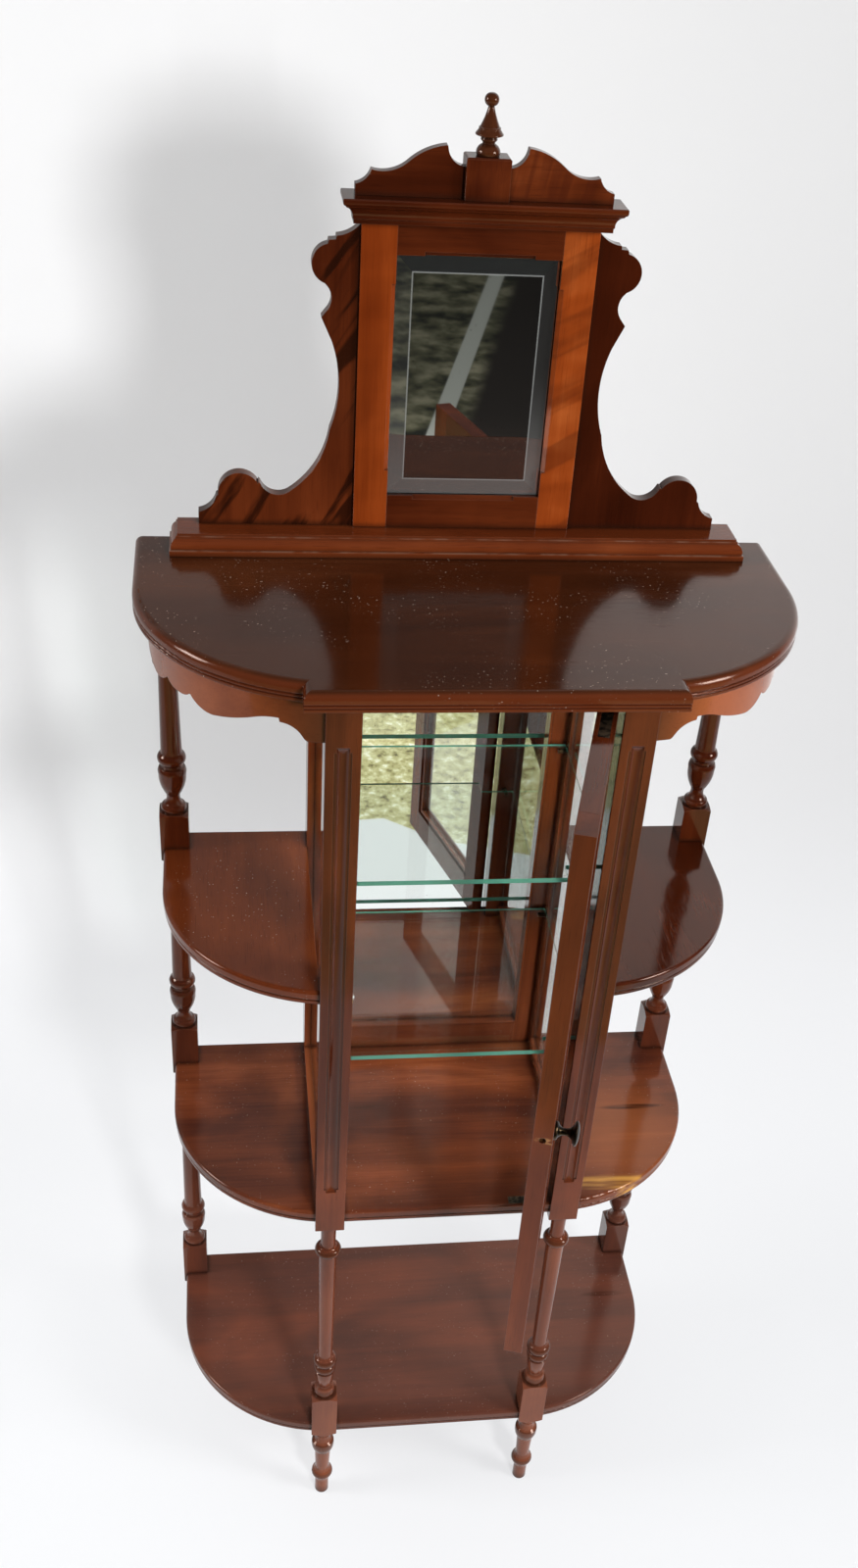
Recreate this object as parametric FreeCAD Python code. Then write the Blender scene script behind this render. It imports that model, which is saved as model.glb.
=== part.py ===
import FreeCAD, Part
import math
import os

# A curio shelf: a glazed centre cabinet between open quarter-round shelves, on turned legs,
# with a mirrored gallery on its top board. Sizes are millimetres.
# X is to the right, Y to the back and Z up. The back edges of the boards lie at Y = 0 while the
# pieces are made, and the whole is moved forward at the end.

Vector = FreeCAD.Vector

# Shared small sizes
overrun = 12.0            # how far a cut runs past the wood
same_place = 0.001        # two places closer than this are one
glazing_lap = 4.0         # how far a pane reaches into its frame
eased_edge = 0.7          # the round sanded on a square edge that shows

# Levels of the boards' top faces above the floor
bottom_shelf_top = 148.0
cabinet_floor_top = 521.0
wing_shelf_top = 826.0
top_board_top = 1162.0

# Boards
shelf_thickness = 15.5
shelf_half_width = 292.0
shelf_front = 273.0       # back edge to front edge
corner_radius = 174.0     # the quarter-round ends
top_thickness = 18.0
top_overhang = 12.0       # the top board past the shelves
break_half_width = 161.5  # the top's stepped-forward middle
break_front = 298.0

# Moulded edges. A shelf has a nose over a low band, with a fine groove between them. The top
# board has a thin bead as well.
groove_height = 0.8
groove_setback = 1.4
shelf_band_height = 4.8
shelf_band_setback = 0.7
shelf_band_round = 1.2
shelf_nose_round = 3.2
shelf_nose_under = 1.6
top_band_height = 3.0
top_band_round = 0.6
top_bead_height = 2.4
top_bead_round = 0.9
top_nose_round = 7.0
top_nose_under = 1.0

# Front posts, square above the cabinet floor and turned below it
post_width = 31.0
post_front = 278.0        # back edge of the boards to the post's face
post_centre_x = 126.8
post_drop = 6.5           # square part below the cabinet floor board
flute_width = 11.3
flute_depth = 3.0
flute_step_width = 15.0
flute_step_depth = 0.9
flute_step_short = 5.0    # the shallow step ends this much before the flute
flute_end_radius = 14.0
flute_from_top = 45.0     # below the top board
flute_from_floor = 36.0   # above the cabinet floor

# Turning, shared by the front legs and the back posts
block_width = 30.0
shoulder_height = 3.0     # how far the lathe rounds a block's corners
shoulder_radius = 15.6    # the round that is left at a block's end
block_below = 2.0         # block below a board's underside
block_above = 52.0        # block above a board
wing_block_above = 41.0
apron_block_height = 54.0
leg_vase_height = 69.5
post_vase_height = 73.0
leg_head_height = 52.0
post_head_height = 56.0

# Back posts stand at the boards' back corners
back_post_stand_out = 3.0     # past the boards' ends

# Aprons under the top board
apron_height = 44.0
apron_thickness = 12.0
apron_middle = 198.0      # along the curve from the back edge to the apron's middle
apron_half_span = 150.0

# Cabinet side frames
side_frame_thickness = 14.0
side_stile_depth = 30.0
side_bottom_rail = 20.0
side_top_rail = 20.0
side_bead = 3.0           # bead along the rails' inner edges
pane_thickness = 3.0
side_pane_inset = 7.5     # the pane's outer face behind the posts' outer faces

# Cabinet head rail, under the top board between the front posts
head_rail_height = 6.5
head_rail_depth = 25.0

# Cabinet back: a framed mirror
back_frame_thickness = 14.0
back_stile_width = 19.3
back_rail_height = 34.0
back_bead = 3.0
mirror_thickness = 2.5
mirror_depth_in_frame = 9.0   # frame's face to the mirror's face
backboard_thickness = 2.5

# Glass shelves
upper_glass_top = 942.0
lower_glass_top = 727.0
glass_thickness = 5.0
glass_front = 253.0
glass_back = 16.0
glass_side_gap = 0.5      # to the side frames' rear stiles
glass_post_gap = 2.0
hinge_notch_width = 39.8  # cut for the hinge stile's swing
hinge_notch_depth = 20.0
glass_corner_round = 2.0
peg_diameter = 5.0
peg_reach = 9.0
left_peg_reach = 10.0
right_peg_reach = 18.0    # longer, to pass the notch for the hinge stile
peg_hold = 8.0            # length of a peg in the wood
rear_peg_inset = 6.0      # glass back edge to the rear peg

# Door, hung on centre pivots at its top and bottom edges
door_thickness = 18.0
door_front = 275.0
door_side_gap = 3.0       # hinge edge to the right post
door_lock_gap = 2.3       # closing edge to the left post
door_floor_gap = 2.0
door_head_gap = 1.5
door_stile_width = 32.0
door_top_rail = 32.0
door_bottom_rail = 40.0
door_open_angle = 73.5    # degrees from closed, as the door stands
door_bead_width = 6.0
door_bead_thickness = 5.0
door_pane_depth = 8.0     # door's face to its pane's face

# Pivot plates
door_plate_length = 66.0
frame_plate_length = 38.0
plate_width = 10.0
plate_thickness = 2.5
pin_diameter = 4.0
pin_clearance = 0.06
plate_gap = 0.3           # between a pair of pivot plates
boss_diameter = 8.0
screw_head_radius = 2.6
screw_head_height = 1.6
screw_shank_radius = 1.2
screw_length = 9.0
head_screw_length = 5.5   # in the thin head rail
screw_share = (0.42, 0.86)    # places along a plate from its pin

# Knob, turned brass
knob_height = 815.0       # above the floor
knob_from_edge = 15.5     # closing edge to the knob's axis
knob_reach = 22.0
knob_radius = 11.5
knob_spigot_radius = 2.5
knob_spigot_length = 9.0

# Ball catch in the left post and its strike in the door's edge
catch_height = 815.0
ball_radius = 3.5
ball_stand_out = 2.9
ball_travel = 2.4
ball_clearance = 0.1
barrel_radius = 4.8
barrel_length = 15.0
barrel_floor = 2.0
barrel_flange_radius = 6.0
barrel_flange_thickness = 0.8
barrel_lip = 0.3          # turned-in mouth that keeps the ball in
barrel_mouth_radius = 3.4
spring_wire_radius = 0.3
spring_coil_radius = 2.6
spring_turns = 5
spring_clearance = 0.4    # to the ball when it is pressed right in
strike_radius = 3.25
strike_depth = 5.0

# Gallery on the top board
gallery_base_height = 19.0
gallery_base_inset = 20.0     # each end in from the boards' ends
gallery_base_depth = 44.0
gallery_base_slope = 7.5      # the top face is smaller by this all round
gallery_frame_half_width = 102.4
gallery_frame_height = 270.0
gallery_frame_thickness = 16.0
gallery_stile_width = 30.9
gallery_bottom_rail = 31.0
gallery_top_rail = 26.5
gallery_rebate = 6.0
gallery_mirror_set = 5.0      # frame's face to the mirror's face
gallery_mirror_thickness = 4.0
gallery_bevel_width = 14.5
gallery_bevel_depth = 1.6
gallery_board_thickness = 4.0
edge_chamfer = 3.5
chamfer_stop = 24.0
wing_thickness = 12.0
wing_height = 267.0
wing_from_base_edge = 19.6    # its outer end in from the base's top face

# Cornice, pediment and finial
cornice_height = 21.0
cornice_overhang = 17.1       # each end past the mirror's frame
cornice_depth = 36.0
cornice_slope = 9.5
pediment_thickness = 10.0
pediment_set = 10.0           # cornice's back to the pediment's back
pediment_height = 41.0
pediment_inset = 10.5         # each end in from the cornice's
plinth_half_width = 18.7
plinth_height = 33.0
plinth_depth = 24.0
plinth_set = 3.0
plinth_chamfer = 1.2
finial_height = 46.5
finial_radius = 11.7

# Outlines of turned parts. Each row is a line or an arc. Numbers are the radius as a share of
# half the block's width and the height as a share of the length that the pattern fills. An arc
# has the point it passes through first.
foot_shares = [
    ("line", 0.51, 0.00), ("line", 0.56, 0.012), ("line", 0.55, 0.19), ("line", 0.60, 0.225),
    ("line", 0.68, 0.245), ("arc", 0.87, 0.295, 0.66, 0.345), ("line", 0.56, 0.375),
    ("line", 0.64, 0.64), ("line", 0.78, 0.675), ("arc", 0.90, 0.725, 0.89, 0.79),
    ("line", 0.66, 0.81), ("arc", 0.53, 0.85, 0.55, 0.90), ("arc", 0.67, 0.93, 0.58, 0.96),
    ("line", 0.62, 0.97), ("line", 0.78, 1.00)]
leg_vase_shares = [
    ("line", 0.80, 0.00), ("arc", 0.84, 0.09, 0.74, 0.175), ("line", 0.54, 0.20),
    ("arc", 0.52, 0.225, 0.60, 0.27), ("arc", 0.73, 0.41, 0.78, 0.59), ("line", 0.64, 0.61),
    ("arc", 0.87, 0.685, 0.66, 0.765), ("line", 0.66, 0.785), ("arc", 0.94, 0.88, 0.66, 0.97),
    ("line", 0.58, 1.00)]
post_vase_shares = [
    ("line", 0.84, 0.00), ("arc", 0.88, 0.045, 0.80, 0.09), ("line", 0.64, 0.11),
    ("arc", 0.47, 0.20, 0.62, 0.31), ("arc", 0.88, 0.45, 0.96, 0.61),
    ("arc", 0.98, 0.66, 0.90, 0.71), ("line", 0.74, 0.73), ("line", 0.74, 0.765),
    ("arc", 0.98, 0.86, 0.74, 0.95), ("line", 0.72, 1.00)]
head_shares = [
    ("line", 0.68, 0.02), ("arc", 0.96, 0.12, 0.66, 0.22), ("line", 0.56, 0.25),
    ("arc", 0.54, 0.58, 0.60, 0.88), ("line", 0.80, 0.91), ("line", 0.80, 1.00)]
leg_column_share = 0.68   # the column's radius at its upper end
post_column_share = 0.61

# The knob: radius as a share of its radius, height as a share of its reach
knob_shares = [
    ("line", 0.74, 0.00), ("line", 0.74, 0.07), ("arc", 0.68, 0.12, 0.55, 0.15),
    ("arc", 0.28, 0.42, 0.55, 0.70), ("line", 0.92, 0.80), ("arc", 1.0, 0.86, 0.92, 0.92),
    ("arc", 0.55, 0.985, 0.12, 1.0)]

# The finial: radius as a share of its radius, height as a share of its height
finial_shares = [
    ("line", 0.80, 0.00), ("arc", 0.86, 0.06, 0.80, 0.115), ("line", 0.69, 0.155),
    ("line", 0.43, 0.20), ("line", 0.50, 0.235), ("arc", 0.60, 0.265, 0.54, 0.29),
    ("line", 0.97, 0.33), ("arc", 1.00, 0.345, 0.97, 0.36), ("line", 0.77, 0.427),
    ("line", 0.78, 0.455), ("line", 0.70, 0.462), ("arc", 0.45, 0.60, 0.23, 0.77),
    ("line", 0.21, 0.785), ("arc", 0.51, 0.90, 0.14, 1.00)]

# The apron's lower edge from its middle outwards: share of the half span, share of the height
apron_shares = [
    ("line", 0.00, 0.855), ("arc", 0.075, 0.83, 0.115, 0.75), ("line", 0.125, 0.745),
    ("arc", 0.20, 0.90, 0.31, 0.945), ("arc", 0.45, 0.83, 0.60, 0.655),
    ("arc", 0.665, 0.595, 0.738, 0.575), ("line", 0.742, 0.655), ("line", 0.760, 0.66),
    ("arc", 0.835, 0.755, 0.873, 0.895), ("line", 0.880, 0.925), ("arc", 0.895, 0.985, 0.935, 1.0),
    ("line", 1.0, 1.0)]

# The gallery wing's edge from the frame outwards: share of its width, share of its height
wing_shares = [
    ("line", 0.0, 1.0), ("arc", 0.055, 0.975, 0.142, 0.960), ("line", 0.145, 0.949),
    ("line", 0.188, 0.947), ("line", 0.193, 0.935), ("arc", 0.287, 0.880, 0.208, 0.815),
    ("line", 0.201, 0.811), ("arc", 0.166, 0.765, 0.190, 0.731), ("line", 0.225, 0.708),
    ("line", 0.160, 0.634), ("arc", 0.110, 0.495, 0.162, 0.337), ("arc", 0.262, 0.199, 0.421, 0.115),
    ("arc", 0.500, 0.106, 0.601, 0.147), ("line", 0.612, 0.152), ("line", 0.614, 0.145),
    ("arc", 0.730, 0.181, 0.872, 0.102), ("line", 0.884, 0.098), ("arc", 0.918, 0.064, 0.999, 0.040),
    ("line", 1.0, 0.0)]

# The pediment's edge from the plinth block outwards: share of its length, share of its height
pediment_shares = [
    ("line", 0.0, 0.60), ("arc", 0.115, 0.715, 0.166, 0.955), ("line", 0.171, 0.98),
    ("arc", 0.36, 0.868, 0.51, 0.665), ("arc", 0.65, 0.49, 0.855, 0.482),
    ("arc", 0.905, 0.305, 0.993, 0.205), ("line", 1.0, 0.20), ("line", 1.0, 0.0)]

# Places worked out from the sizes above
top_underside = top_board_top - top_thickness
post_inner = post_centre_x - post_width / 2
post_outer = post_centre_x + post_width / 2
post_back = post_front - post_width
post_axis_y = -(post_front + post_back) / 2
post_bottom = cabinet_floor_top - shelf_thickness - post_drop
back_post_outer = shelf_half_width + back_post_stand_out
back_post_inner = back_post_outer - block_width
back_post_x = back_post_outer - block_width / 2
back_post_y = -block_width / 2
turning_radius = block_width / 2
leg_block_bottom = bottom_shelf_top - shelf_thickness - block_below
leg_block_top = bottom_shelf_top + block_above
cabinet_head = top_underside - head_rail_height
side_frame_inner = post_outer - side_frame_thickness
pane_outer = post_outer - side_pane_inset
pane_inner = pane_outer - pane_thickness
mirror_face = back_frame_thickness - mirror_depth_in_frame
glass_half_width = side_frame_inner - glass_side_gap
door_back = door_front - door_thickness
door_left = -post_inner + door_lock_gap
door_right = post_inner - door_side_gap
door_bottom = cabinet_floor_top + door_floor_gap
door_top = cabinet_head - door_head_gap
pivot_x = door_right - door_thickness / 2
pivot_y = -(door_front + door_back) / 2
gallery_base_half_width = shelf_half_width - gallery_base_inset
wing_end = gallery_base_half_width - gallery_base_slope - wing_from_base_edge
wing_width = wing_end - gallery_frame_half_width
gallery_bottom = top_board_top + gallery_base_height
gallery_top = gallery_bottom + gallery_frame_height
cornice_half_width = gallery_frame_half_width + cornice_overhang
pediment_end = cornice_half_width - pediment_inset
cornice_top = gallery_top + cornice_height
plinth_top = cornice_top + plinth_height

# The open door reaches furthest forward. The part's origin is on the floor, midway between that
# reach and the back edge.
open_angle = math.radians(door_open_angle)
door_leaf = pivot_x - door_left
door_reach = -pivot_y + door_leaf * math.sin(open_angle) + door_thickness / 2 * math.cos(open_angle)
origin_shift = Vector(0, door_reach / 2, 0)


# Building blocks

def box(x_from, x_to, y_from, y_to, z_from, z_to):
    size = (x_to - x_from, y_to - y_from, z_to - z_from)
    return Part.makeBox(size[0], size[1], size[2], Vector(x_from, y_from, z_from))


def mirrored(shape):
    return shape.mirror(Vector(0, 0, 0), Vector(1, 0, 0))


def cylinder(radius, start, end):
    along = end - start
    return Part.makeCylinder(radius, along.Length, start, along)


def trace(rows, place):
    """Edges through the rows of an outline. place turns a row's pair of numbers into a point."""
    edges = []
    last = place(rows[0][1], rows[0][2])
    for row in rows[1:]:
        end = place(row[-2], row[-1])
        if row[0] == "arc":
            edges.append(Part.Arc(last, place(row[1], row[2]), end).toShape())
        else:
            edges.append(Part.makeLine(last, end))
        last = end
    return edges


def joined(points):
    return [Part.makeLine(a, b) for a, b in zip(points, points[1:])]


def prism(edges, along):
    return Part.Face(Part.Wire(edges)).extrude(along)


def turned(rows, radius, bottom, height, end_share=None):
    """A turned length with its axis on Z. The rows start at the bottom."""
    def place(radius_share, height_share):
        return Vector(radius * radius_share, 0, bottom + height * height_share)
    start = Vector(0, 0, bottom + height * rows[0][2])
    edges = joined([start, place(rows[0][1], rows[0][2])]) + trace(rows, place)
    last = place(rows[-1][-2], rows[-1][-1])
    if last.x > same_place:
        end = Vector(0, 0, last.z)
        edges += joined([last, end])
        last = end
    edges += joined([last, start])
    return Part.Face(Part.Wire(edges)).revolve(Vector(0, 0, 0), Vector(0, 0, 1), 360)


def at(shape, x, y):
    shape.translate(Vector(x, y, 0))
    return shape


def fused(shapes):
    return shapes[0].fuse(shapes[1:]).removeSplitter()


def level_edges(shape, height):
    """Edges that lie flat at one height."""
    return [edge for edge in shape.Edges
            if abs(edge.BoundBox.ZMin - height) < same_place
            and abs(edge.BoundBox.ZMax - height) < same_place]


def upright_edges(shape):
    return [edge for edge in shape.Edges
            if edge.BoundBox.XLength < same_place and edge.BoundBox.YLength < same_place]


def eased(shape, *places):
    """Rounds the upright edges of a square piece. places keeps only edges at those X."""
    edges = [edge for edge in upright_edges(shape)
             if not places or any(abs(edge.BoundBox.XMin - x) < same_place for x in places)]
    return shape.makeFillet(eased_edge, edges)


# Boards

def board_outline(half_width, front, radius):
    """The plan of a board with quarter-round front corners. It runs past the back edge."""
    centre = Vector(half_width - radius, -(front - radius), 0)
    reach = radius * math.sqrt(0.5)
    side = Vector(half_width, centre.y, 0)
    middle = centre + Vector(reach, -reach, 0)
    face = Vector(centre.x, -front, 0)
    back = Vector(half_width, overrun, 0)

    def left(point):
        return Vector(-point.x, point.y, 0)
    return [Part.makeLine(back, side), Part.Arc(side, middle, face).toShape(),
            Part.makeLine(face, left(face)), Part.Arc(left(face), left(middle), left(side)).toShape(),
            Part.makeLine(left(side), left(back)), Part.makeLine(left(back), back)]


def box_outline(half_width, front):
    corners = [Vector(half_width, overrun, 0), Vector(half_width, -front, 0),
               Vector(-half_width, -front, 0), Vector(-half_width, overrun, 0)]
    return joined(corners + corners[:1])


def layer(edges, bottom, height, round_bottom, round_top):
    slab = prism(edges, Vector(0, 0, height))
    if round_top:
        slab = slab.makeFillet(round_top, level_edges(slab, height))
    if round_bottom:
        slab = slab.makeFillet(round_bottom, level_edges(slab, 0))
    slab.translate(Vector(0, 0, bottom))
    return slab


def moulded_board(outline, top, thickness, mouldings):
    """A board with a moulded edge. outline takes the edge's setback, and mouldings has the height,
    setback and the lower and upper rounds of each member from the bottom. The last fills up."""
    level = top - thickness
    members = []
    for height, setback, round_bottom, round_top in mouldings:
        height = height or top - level
        members.append(layer(outline(setback), level, height, round_bottom, round_top))
        level += height
    return fused(members)


def behind(z_from, z_to):
    """Everything behind the back edge between two heights."""
    wide = shelf_half_width + top_overhang + overrun
    return box(-wide, wide, 0, overrun * 2, z_from - overrun, z_to + overrun)


def shelf_outline(setback):
    return board_outline(shelf_half_width - setback, shelf_front - setback, corner_radius - setback)


def shelf(top):
    mouldings = [(shelf_band_height, shelf_band_setback, shelf_band_round, shelf_band_round),
                 (groove_height, groove_setback, 0, 0),
                 (0, 0, shelf_nose_under, shelf_nose_round)]
    board = moulded_board(shelf_outline, top, shelf_thickness, mouldings)
    return board.cut(behind(top - shelf_thickness, top))


def front_notch(width, z_from, z_to):
    """The room that a front post or leg block takes out of a board, on the right."""
    half = width / 2
    return box(post_centre_x - half, post_centre_x + half, post_axis_y - half - overrun,
               post_axis_y + half, z_from, z_to)


def back_notch(z_from, z_to):
    return box(back_post_inner, back_post_outer + overrun, -block_width, overrun, z_from, z_to)


def notched(board, top, front_width):
    bottom = top - shelf_thickness
    for notch in (front_notch(front_width, bottom - overrun, top + overrun),
                  back_notch(bottom - overrun, top + overrun)):
        board = board.cut([notch, mirrored(notch)])
    return board


def bottom_shelf():
    return notched(shelf(bottom_shelf_top), bottom_shelf_top, block_width)


def cabinet_floor():
    board = notched(shelf(cabinet_floor_top), cabinet_floor_top, post_width)
    return board.cut([plate(cabinet_floor_top - plate_thickness, frame_plate_length)] + floor_screws())


def wing_shelf():
    """The open shelf on the cabinet's right side."""
    bottom = wing_shelf_top - shelf_thickness
    board = shelf(wing_shelf_top).cut(back_notch(bottom - overrun, wing_shelf_top + overrun))
    inner = box(-shelf_half_width - overrun, post_outer, -shelf_front - overrun, overrun,
                bottom - overrun, wing_shelf_top + overrun)
    return board.cut(inner)


def top_board():
    def ends(setback):
        return board_outline(shelf_half_width + top_overhang - setback,
                             shelf_front + top_overhang - setback,
                             corner_radius + top_overhang - setback)

    def middle(setback):
        return box_outline(break_half_width - setback, break_front - setback)
    mouldings = [(top_band_height, 0, top_band_round, top_band_round),
                 (groove_height, groove_setback, 0, 0),
                 (top_bead_height, 0, top_bead_round, top_bead_round),
                 (groove_height, groove_setback, 0, 0),
                 (0, 0, top_nose_under, top_nose_round)]
    board = fused([moulded_board(outline, top_board_top, top_thickness, mouldings)
                   for outline in (ends, middle)])
    return board.cut(behind(top_underside, top_board_top))


def apron():
    """The curved board under the right end of the top, sawn to a scalloped lower edge."""
    bottom = top_underside - apron_height
    up = Vector(0, 0, apron_height)
    wall = prism(shelf_outline(0), up).cut(prism(shelf_outline(apron_thickness), up))
    wall.translate(Vector(0, 0, bottom))
    wall = wall.common(box(post_outer, back_post_outer, -shelf_front - overrun, -block_width,
                           bottom, top_underside))
    centre_x = shelf_half_width - corner_radius
    straight = shelf_front - corner_radius

    def along(distance):
        turn = max(0, distance - straight) / corner_radius
        y = -min(distance, straight) - corner_radius * math.sin(turn)
        return centre_x + corner_radius * math.cos(turn), y

    def height(share):
        return top_underside - apron_height * share

    def front_place(span_share, height_share):
        x, y = along(apron_middle + apron_half_span * span_share)
        return Vector(x, 0, height(height_share))

    def side_place(span_share, height_share):
        x, y = along(apron_middle - apron_half_span * span_share)
        return Vector(0, y, height(height_share))
    below = bottom - overrun
    middle_x, middle_y = along(apron_middle)
    last = front_place(1, 1)
    front_cut = trace(apron_shares, front_place) + joined(
        [last, Vector(last.x, 0, below), Vector(middle_x, 0, below), front_place(0, apron_shares[0][2])])
    front_cut = prism(front_cut, Vector(0, -shelf_front - overrun, 0))
    last = side_place(1, 1)
    side_cut = trace(apron_shares, side_place) + joined(
        [last, Vector(0, last.y, below), Vector(0, middle_y, below), side_place(0, apron_shares[0][2])])
    side_cut = prism(side_cut, Vector(shelf_half_width + overrun, 0, 0))
    front_half = box(post_outer, middle_x, -shelf_front - overrun, 0, below, top_underside)
    side_half = box(middle_x, back_post_outer, -shelf_front - overrun, 0, below, top_underside)
    return fused([wall.common(front_half).cut(front_cut), wall.common(side_half).cut(side_cut)])


# Posts

def block(bottom, top):
    """A square block on the turning's axis, its corners rounded over by the lathe at both ends."""
    half = block_width / 2
    corner = block_width
    shape = eased(box(-half, half, -half, half, bottom, top))
    slope = (corner - shoulder_radius) / (half * math.sqrt(2) - shoulder_radius)
    reach = shoulder_height * slope
    points = [Vector(0, 0, bottom), Vector(shoulder_radius, 0, bottom), Vector(corner, 0, bottom + reach),
              Vector(corner, 0, top - reach), Vector(shoulder_radius, 0, top), Vector(0, 0, top)]
    envelope = Part.Face(Part.Wire(joined(points + points[:1])))
    return shape.common(envelope.revolve(Vector(0, 0, 0), Vector(0, 0, 1), 360))


def turned_length(bottom, top, vase_rows, vase_height, head_height, column_share):
    """A turned length between two blocks: a vase, a tapering column and a ringed neck."""
    rows = [("line", vase_rows[-1][-2], 0), ("line", column_share, 1)]
    column_top = top - head_height
    return [turned(vase_rows, turning_radius, bottom, vase_height),
            turned(rows, turning_radius, bottom + vase_height, column_top - bottom - vase_height),
            turned([("line", column_share, 0)] + head_shares, turning_radius, column_top, head_height)]


def foot():
    return turned(foot_shares, turning_radius, 0, leg_block_bottom)


def back_post():
    floor_block = (cabinet_floor_top - shelf_thickness - block_below, cabinet_floor_top + block_above)
    wing_block = (wing_shelf_top - shelf_thickness - block_below, wing_shelf_top + wing_block_above)
    blocks = [(leg_block_bottom, leg_block_top), floor_block, wing_block,
              (top_underside - apron_block_height, top_underside)]
    pieces = [foot()] + [block(low, high) for low, high in blocks]
    for lower, upper in zip(blocks, blocks[1:]):
        pieces += turned_length(lower[1], upper[0], post_vase_shares, post_vase_height,
                                post_head_height, post_column_share)
    return at(fused(pieces), back_post_x, back_post_y)


def flute():
    """The stopped flute in a post's face, with a shallow step each side of it."""
    face = -post_front
    low = cabinet_floor_top + flute_from_floor
    high = top_underside - flute_from_top
    radius = ((flute_width / 2) ** 2 + flute_depth ** 2) / (2 * flute_depth)
    axis_y = face - (radius - flute_depth)
    groove = cylinder(radius, Vector(post_centre_x, axis_y, low), Vector(post_centre_x, axis_y, high))
    run = math.sqrt(2 * flute_end_radius * flute_depth - flute_depth ** 2)
    drop = flute_end_radius - math.sqrt(flute_end_radius ** 2 - (run / 2) ** 2)
    floor_y = face + flute_depth
    near = face - overrun

    def point(y, z):
        return Vector(post_centre_x - flute_width, y, z)
    bottom_run = Part.Arc(point(face, low), point(floor_y - drop, low + run / 2), point(floor_y, low + run))
    top_run = Part.Arc(point(floor_y, high - run), point(floor_y - drop, high - run / 2), point(face, high))
    edges = [Part.makeLine(point(near, low), point(face, low)), bottom_run.toShape(),
             Part.makeLine(point(floor_y, low + run), point(floor_y, high - run)), top_run.toShape()]
    edges += joined([point(face, high), point(near, high), point(near, low)])
    groove = groove.common(prism(edges, Vector(2 * flute_width, 0, 0)))
    step = box(post_centre_x - flute_step_width / 2, post_centre_x + flute_step_width / 2, near,
               face + flute_step_depth, low + flute_step_short, high - flute_step_short)
    return groove.fuse(step)


def front_post():
    """The right front post: a square cabinet stile above, a turned leg below."""
    stile = eased(box(post_inner, post_outer, -post_front, -post_back, post_bottom, top_underside))
    stile = stile.cut([flute(), side_pane()])
    leg = [foot(), block(leg_block_bottom, leg_block_top)]
    leg += turned_length(leg_block_top, post_bottom, leg_vase_shares, leg_vase_height,
                         leg_head_height, leg_column_share)
    leg = at(fused(leg), post_centre_x, post_axis_y)
    return fused([stile, leg])


def left_front_post():
    return mirrored(front_post()).cut([catch_room()] + front_peg_holes())


def right_front_post():
    return front_post().cut([mirrored(hole) for hole in front_peg_holes()])


# Cabinet sides

def side_pane():
    return box(pane_inner, pane_outer, -post_back - glazing_lap, -side_stile_depth + glazing_lap,
               cabinet_floor_top + side_bottom_rail - glazing_lap,
               top_underside - side_top_rail + glazing_lap)


def side_stile():
    stile = box(side_frame_inner, post_outer, -side_stile_depth, 0, cabinet_floor_top, top_underside)
    return stile.cut([side_pane(), rear_peg_hole(upper_glass_top), rear_peg_hole(lower_glass_top)])


def side_rail(bottom, top):
    """A rail between the front post and the rear stile, beaded along its inner face."""
    rail = box(side_frame_inner, post_outer, -post_back, -side_stile_depth, bottom, top)
    return rail.cut(side_pane())


def side_rail_bottom():
    top = cabinet_floor_top + side_bottom_rail
    rail = side_rail(cabinet_floor_top, top)
    bead = cylinder(side_bead / 2, Vector(side_frame_inner, -post_back, top - side_bead),
                    Vector(side_frame_inner, -side_stile_depth, top - side_bead))
    return fused([rail, bead])


def side_rail_top():
    return side_rail(top_underside - side_top_rail, top_underside)


# Cabinet head and back

def head_rail():
    rail = box(-post_inner, post_inner, -door_front, -door_front + head_rail_depth, cabinet_head,
               top_underside)
    return rail.cut([plate(cabinet_head, frame_plate_length)] + head_screws())


def back_panel(face, thickness):
    """A sheet in the back frame's rebate, its front face at the given distance from the back."""
    half = side_frame_inner - back_stile_width + glazing_lap
    return box(-half, half, -face, -face + thickness,
               cabinet_floor_top + back_rail_height - glazing_lap,
               top_underside - back_rail_height + glazing_lap)


def back_mirror():
    return back_panel(mirror_face, mirror_thickness)


def backboard():
    return back_panel(mirror_face - mirror_thickness, backboard_thickness)


def back_rebate():
    return back_panel(mirror_face, mirror_face + overrun)


def back_stile():
    inner = side_frame_inner - back_stile_width
    stile = box(inner, side_frame_inner, -back_frame_thickness, 0, cabinet_floor_top, top_underside)
    x = inner + back_bead / 2
    bead = cylinder(back_bead / 2, Vector(x, -back_frame_thickness, cabinet_floor_top + back_rail_height),
                    Vector(x, -back_frame_thickness, top_underside - back_rail_height))
    return fused([stile.cut(back_rebate()), bead])


def back_rail(bottom, bead_height_at):
    inner = side_frame_inner - back_stile_width
    rail = box(-inner, inner, -back_frame_thickness, 0, bottom, bottom + back_rail_height)
    bead = cylinder(back_bead / 2, Vector(-inner, -back_frame_thickness, bead_height_at),
                    Vector(inner, -back_frame_thickness, bead_height_at))
    return fused([rail.cut(back_rebate()), bead])


# Glass shelves and the pegs under them

def glass_shelf(top):
    """A glass shelf, its front corners cut away round the posts and for the door's hinge stile."""
    bottom = top - glass_thickness
    shape = box(-glass_half_width, glass_half_width, -glass_front, -glass_back, bottom, top)
    left = box(-glass_half_width - overrun, -post_inner + glass_post_gap, -glass_front - overrun,
               -post_back + glass_post_gap, bottom - overrun, top + overrun)
    right = box(glass_half_width - hinge_notch_width, glass_half_width + overrun,
                -glass_front - overrun, -glass_front + hinge_notch_depth, bottom - overrun,
                top + overrun)
    shape = shape.cut([left, right])
    return shape.makeFillet(glass_corner_round, upright_edges(shape))


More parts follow.
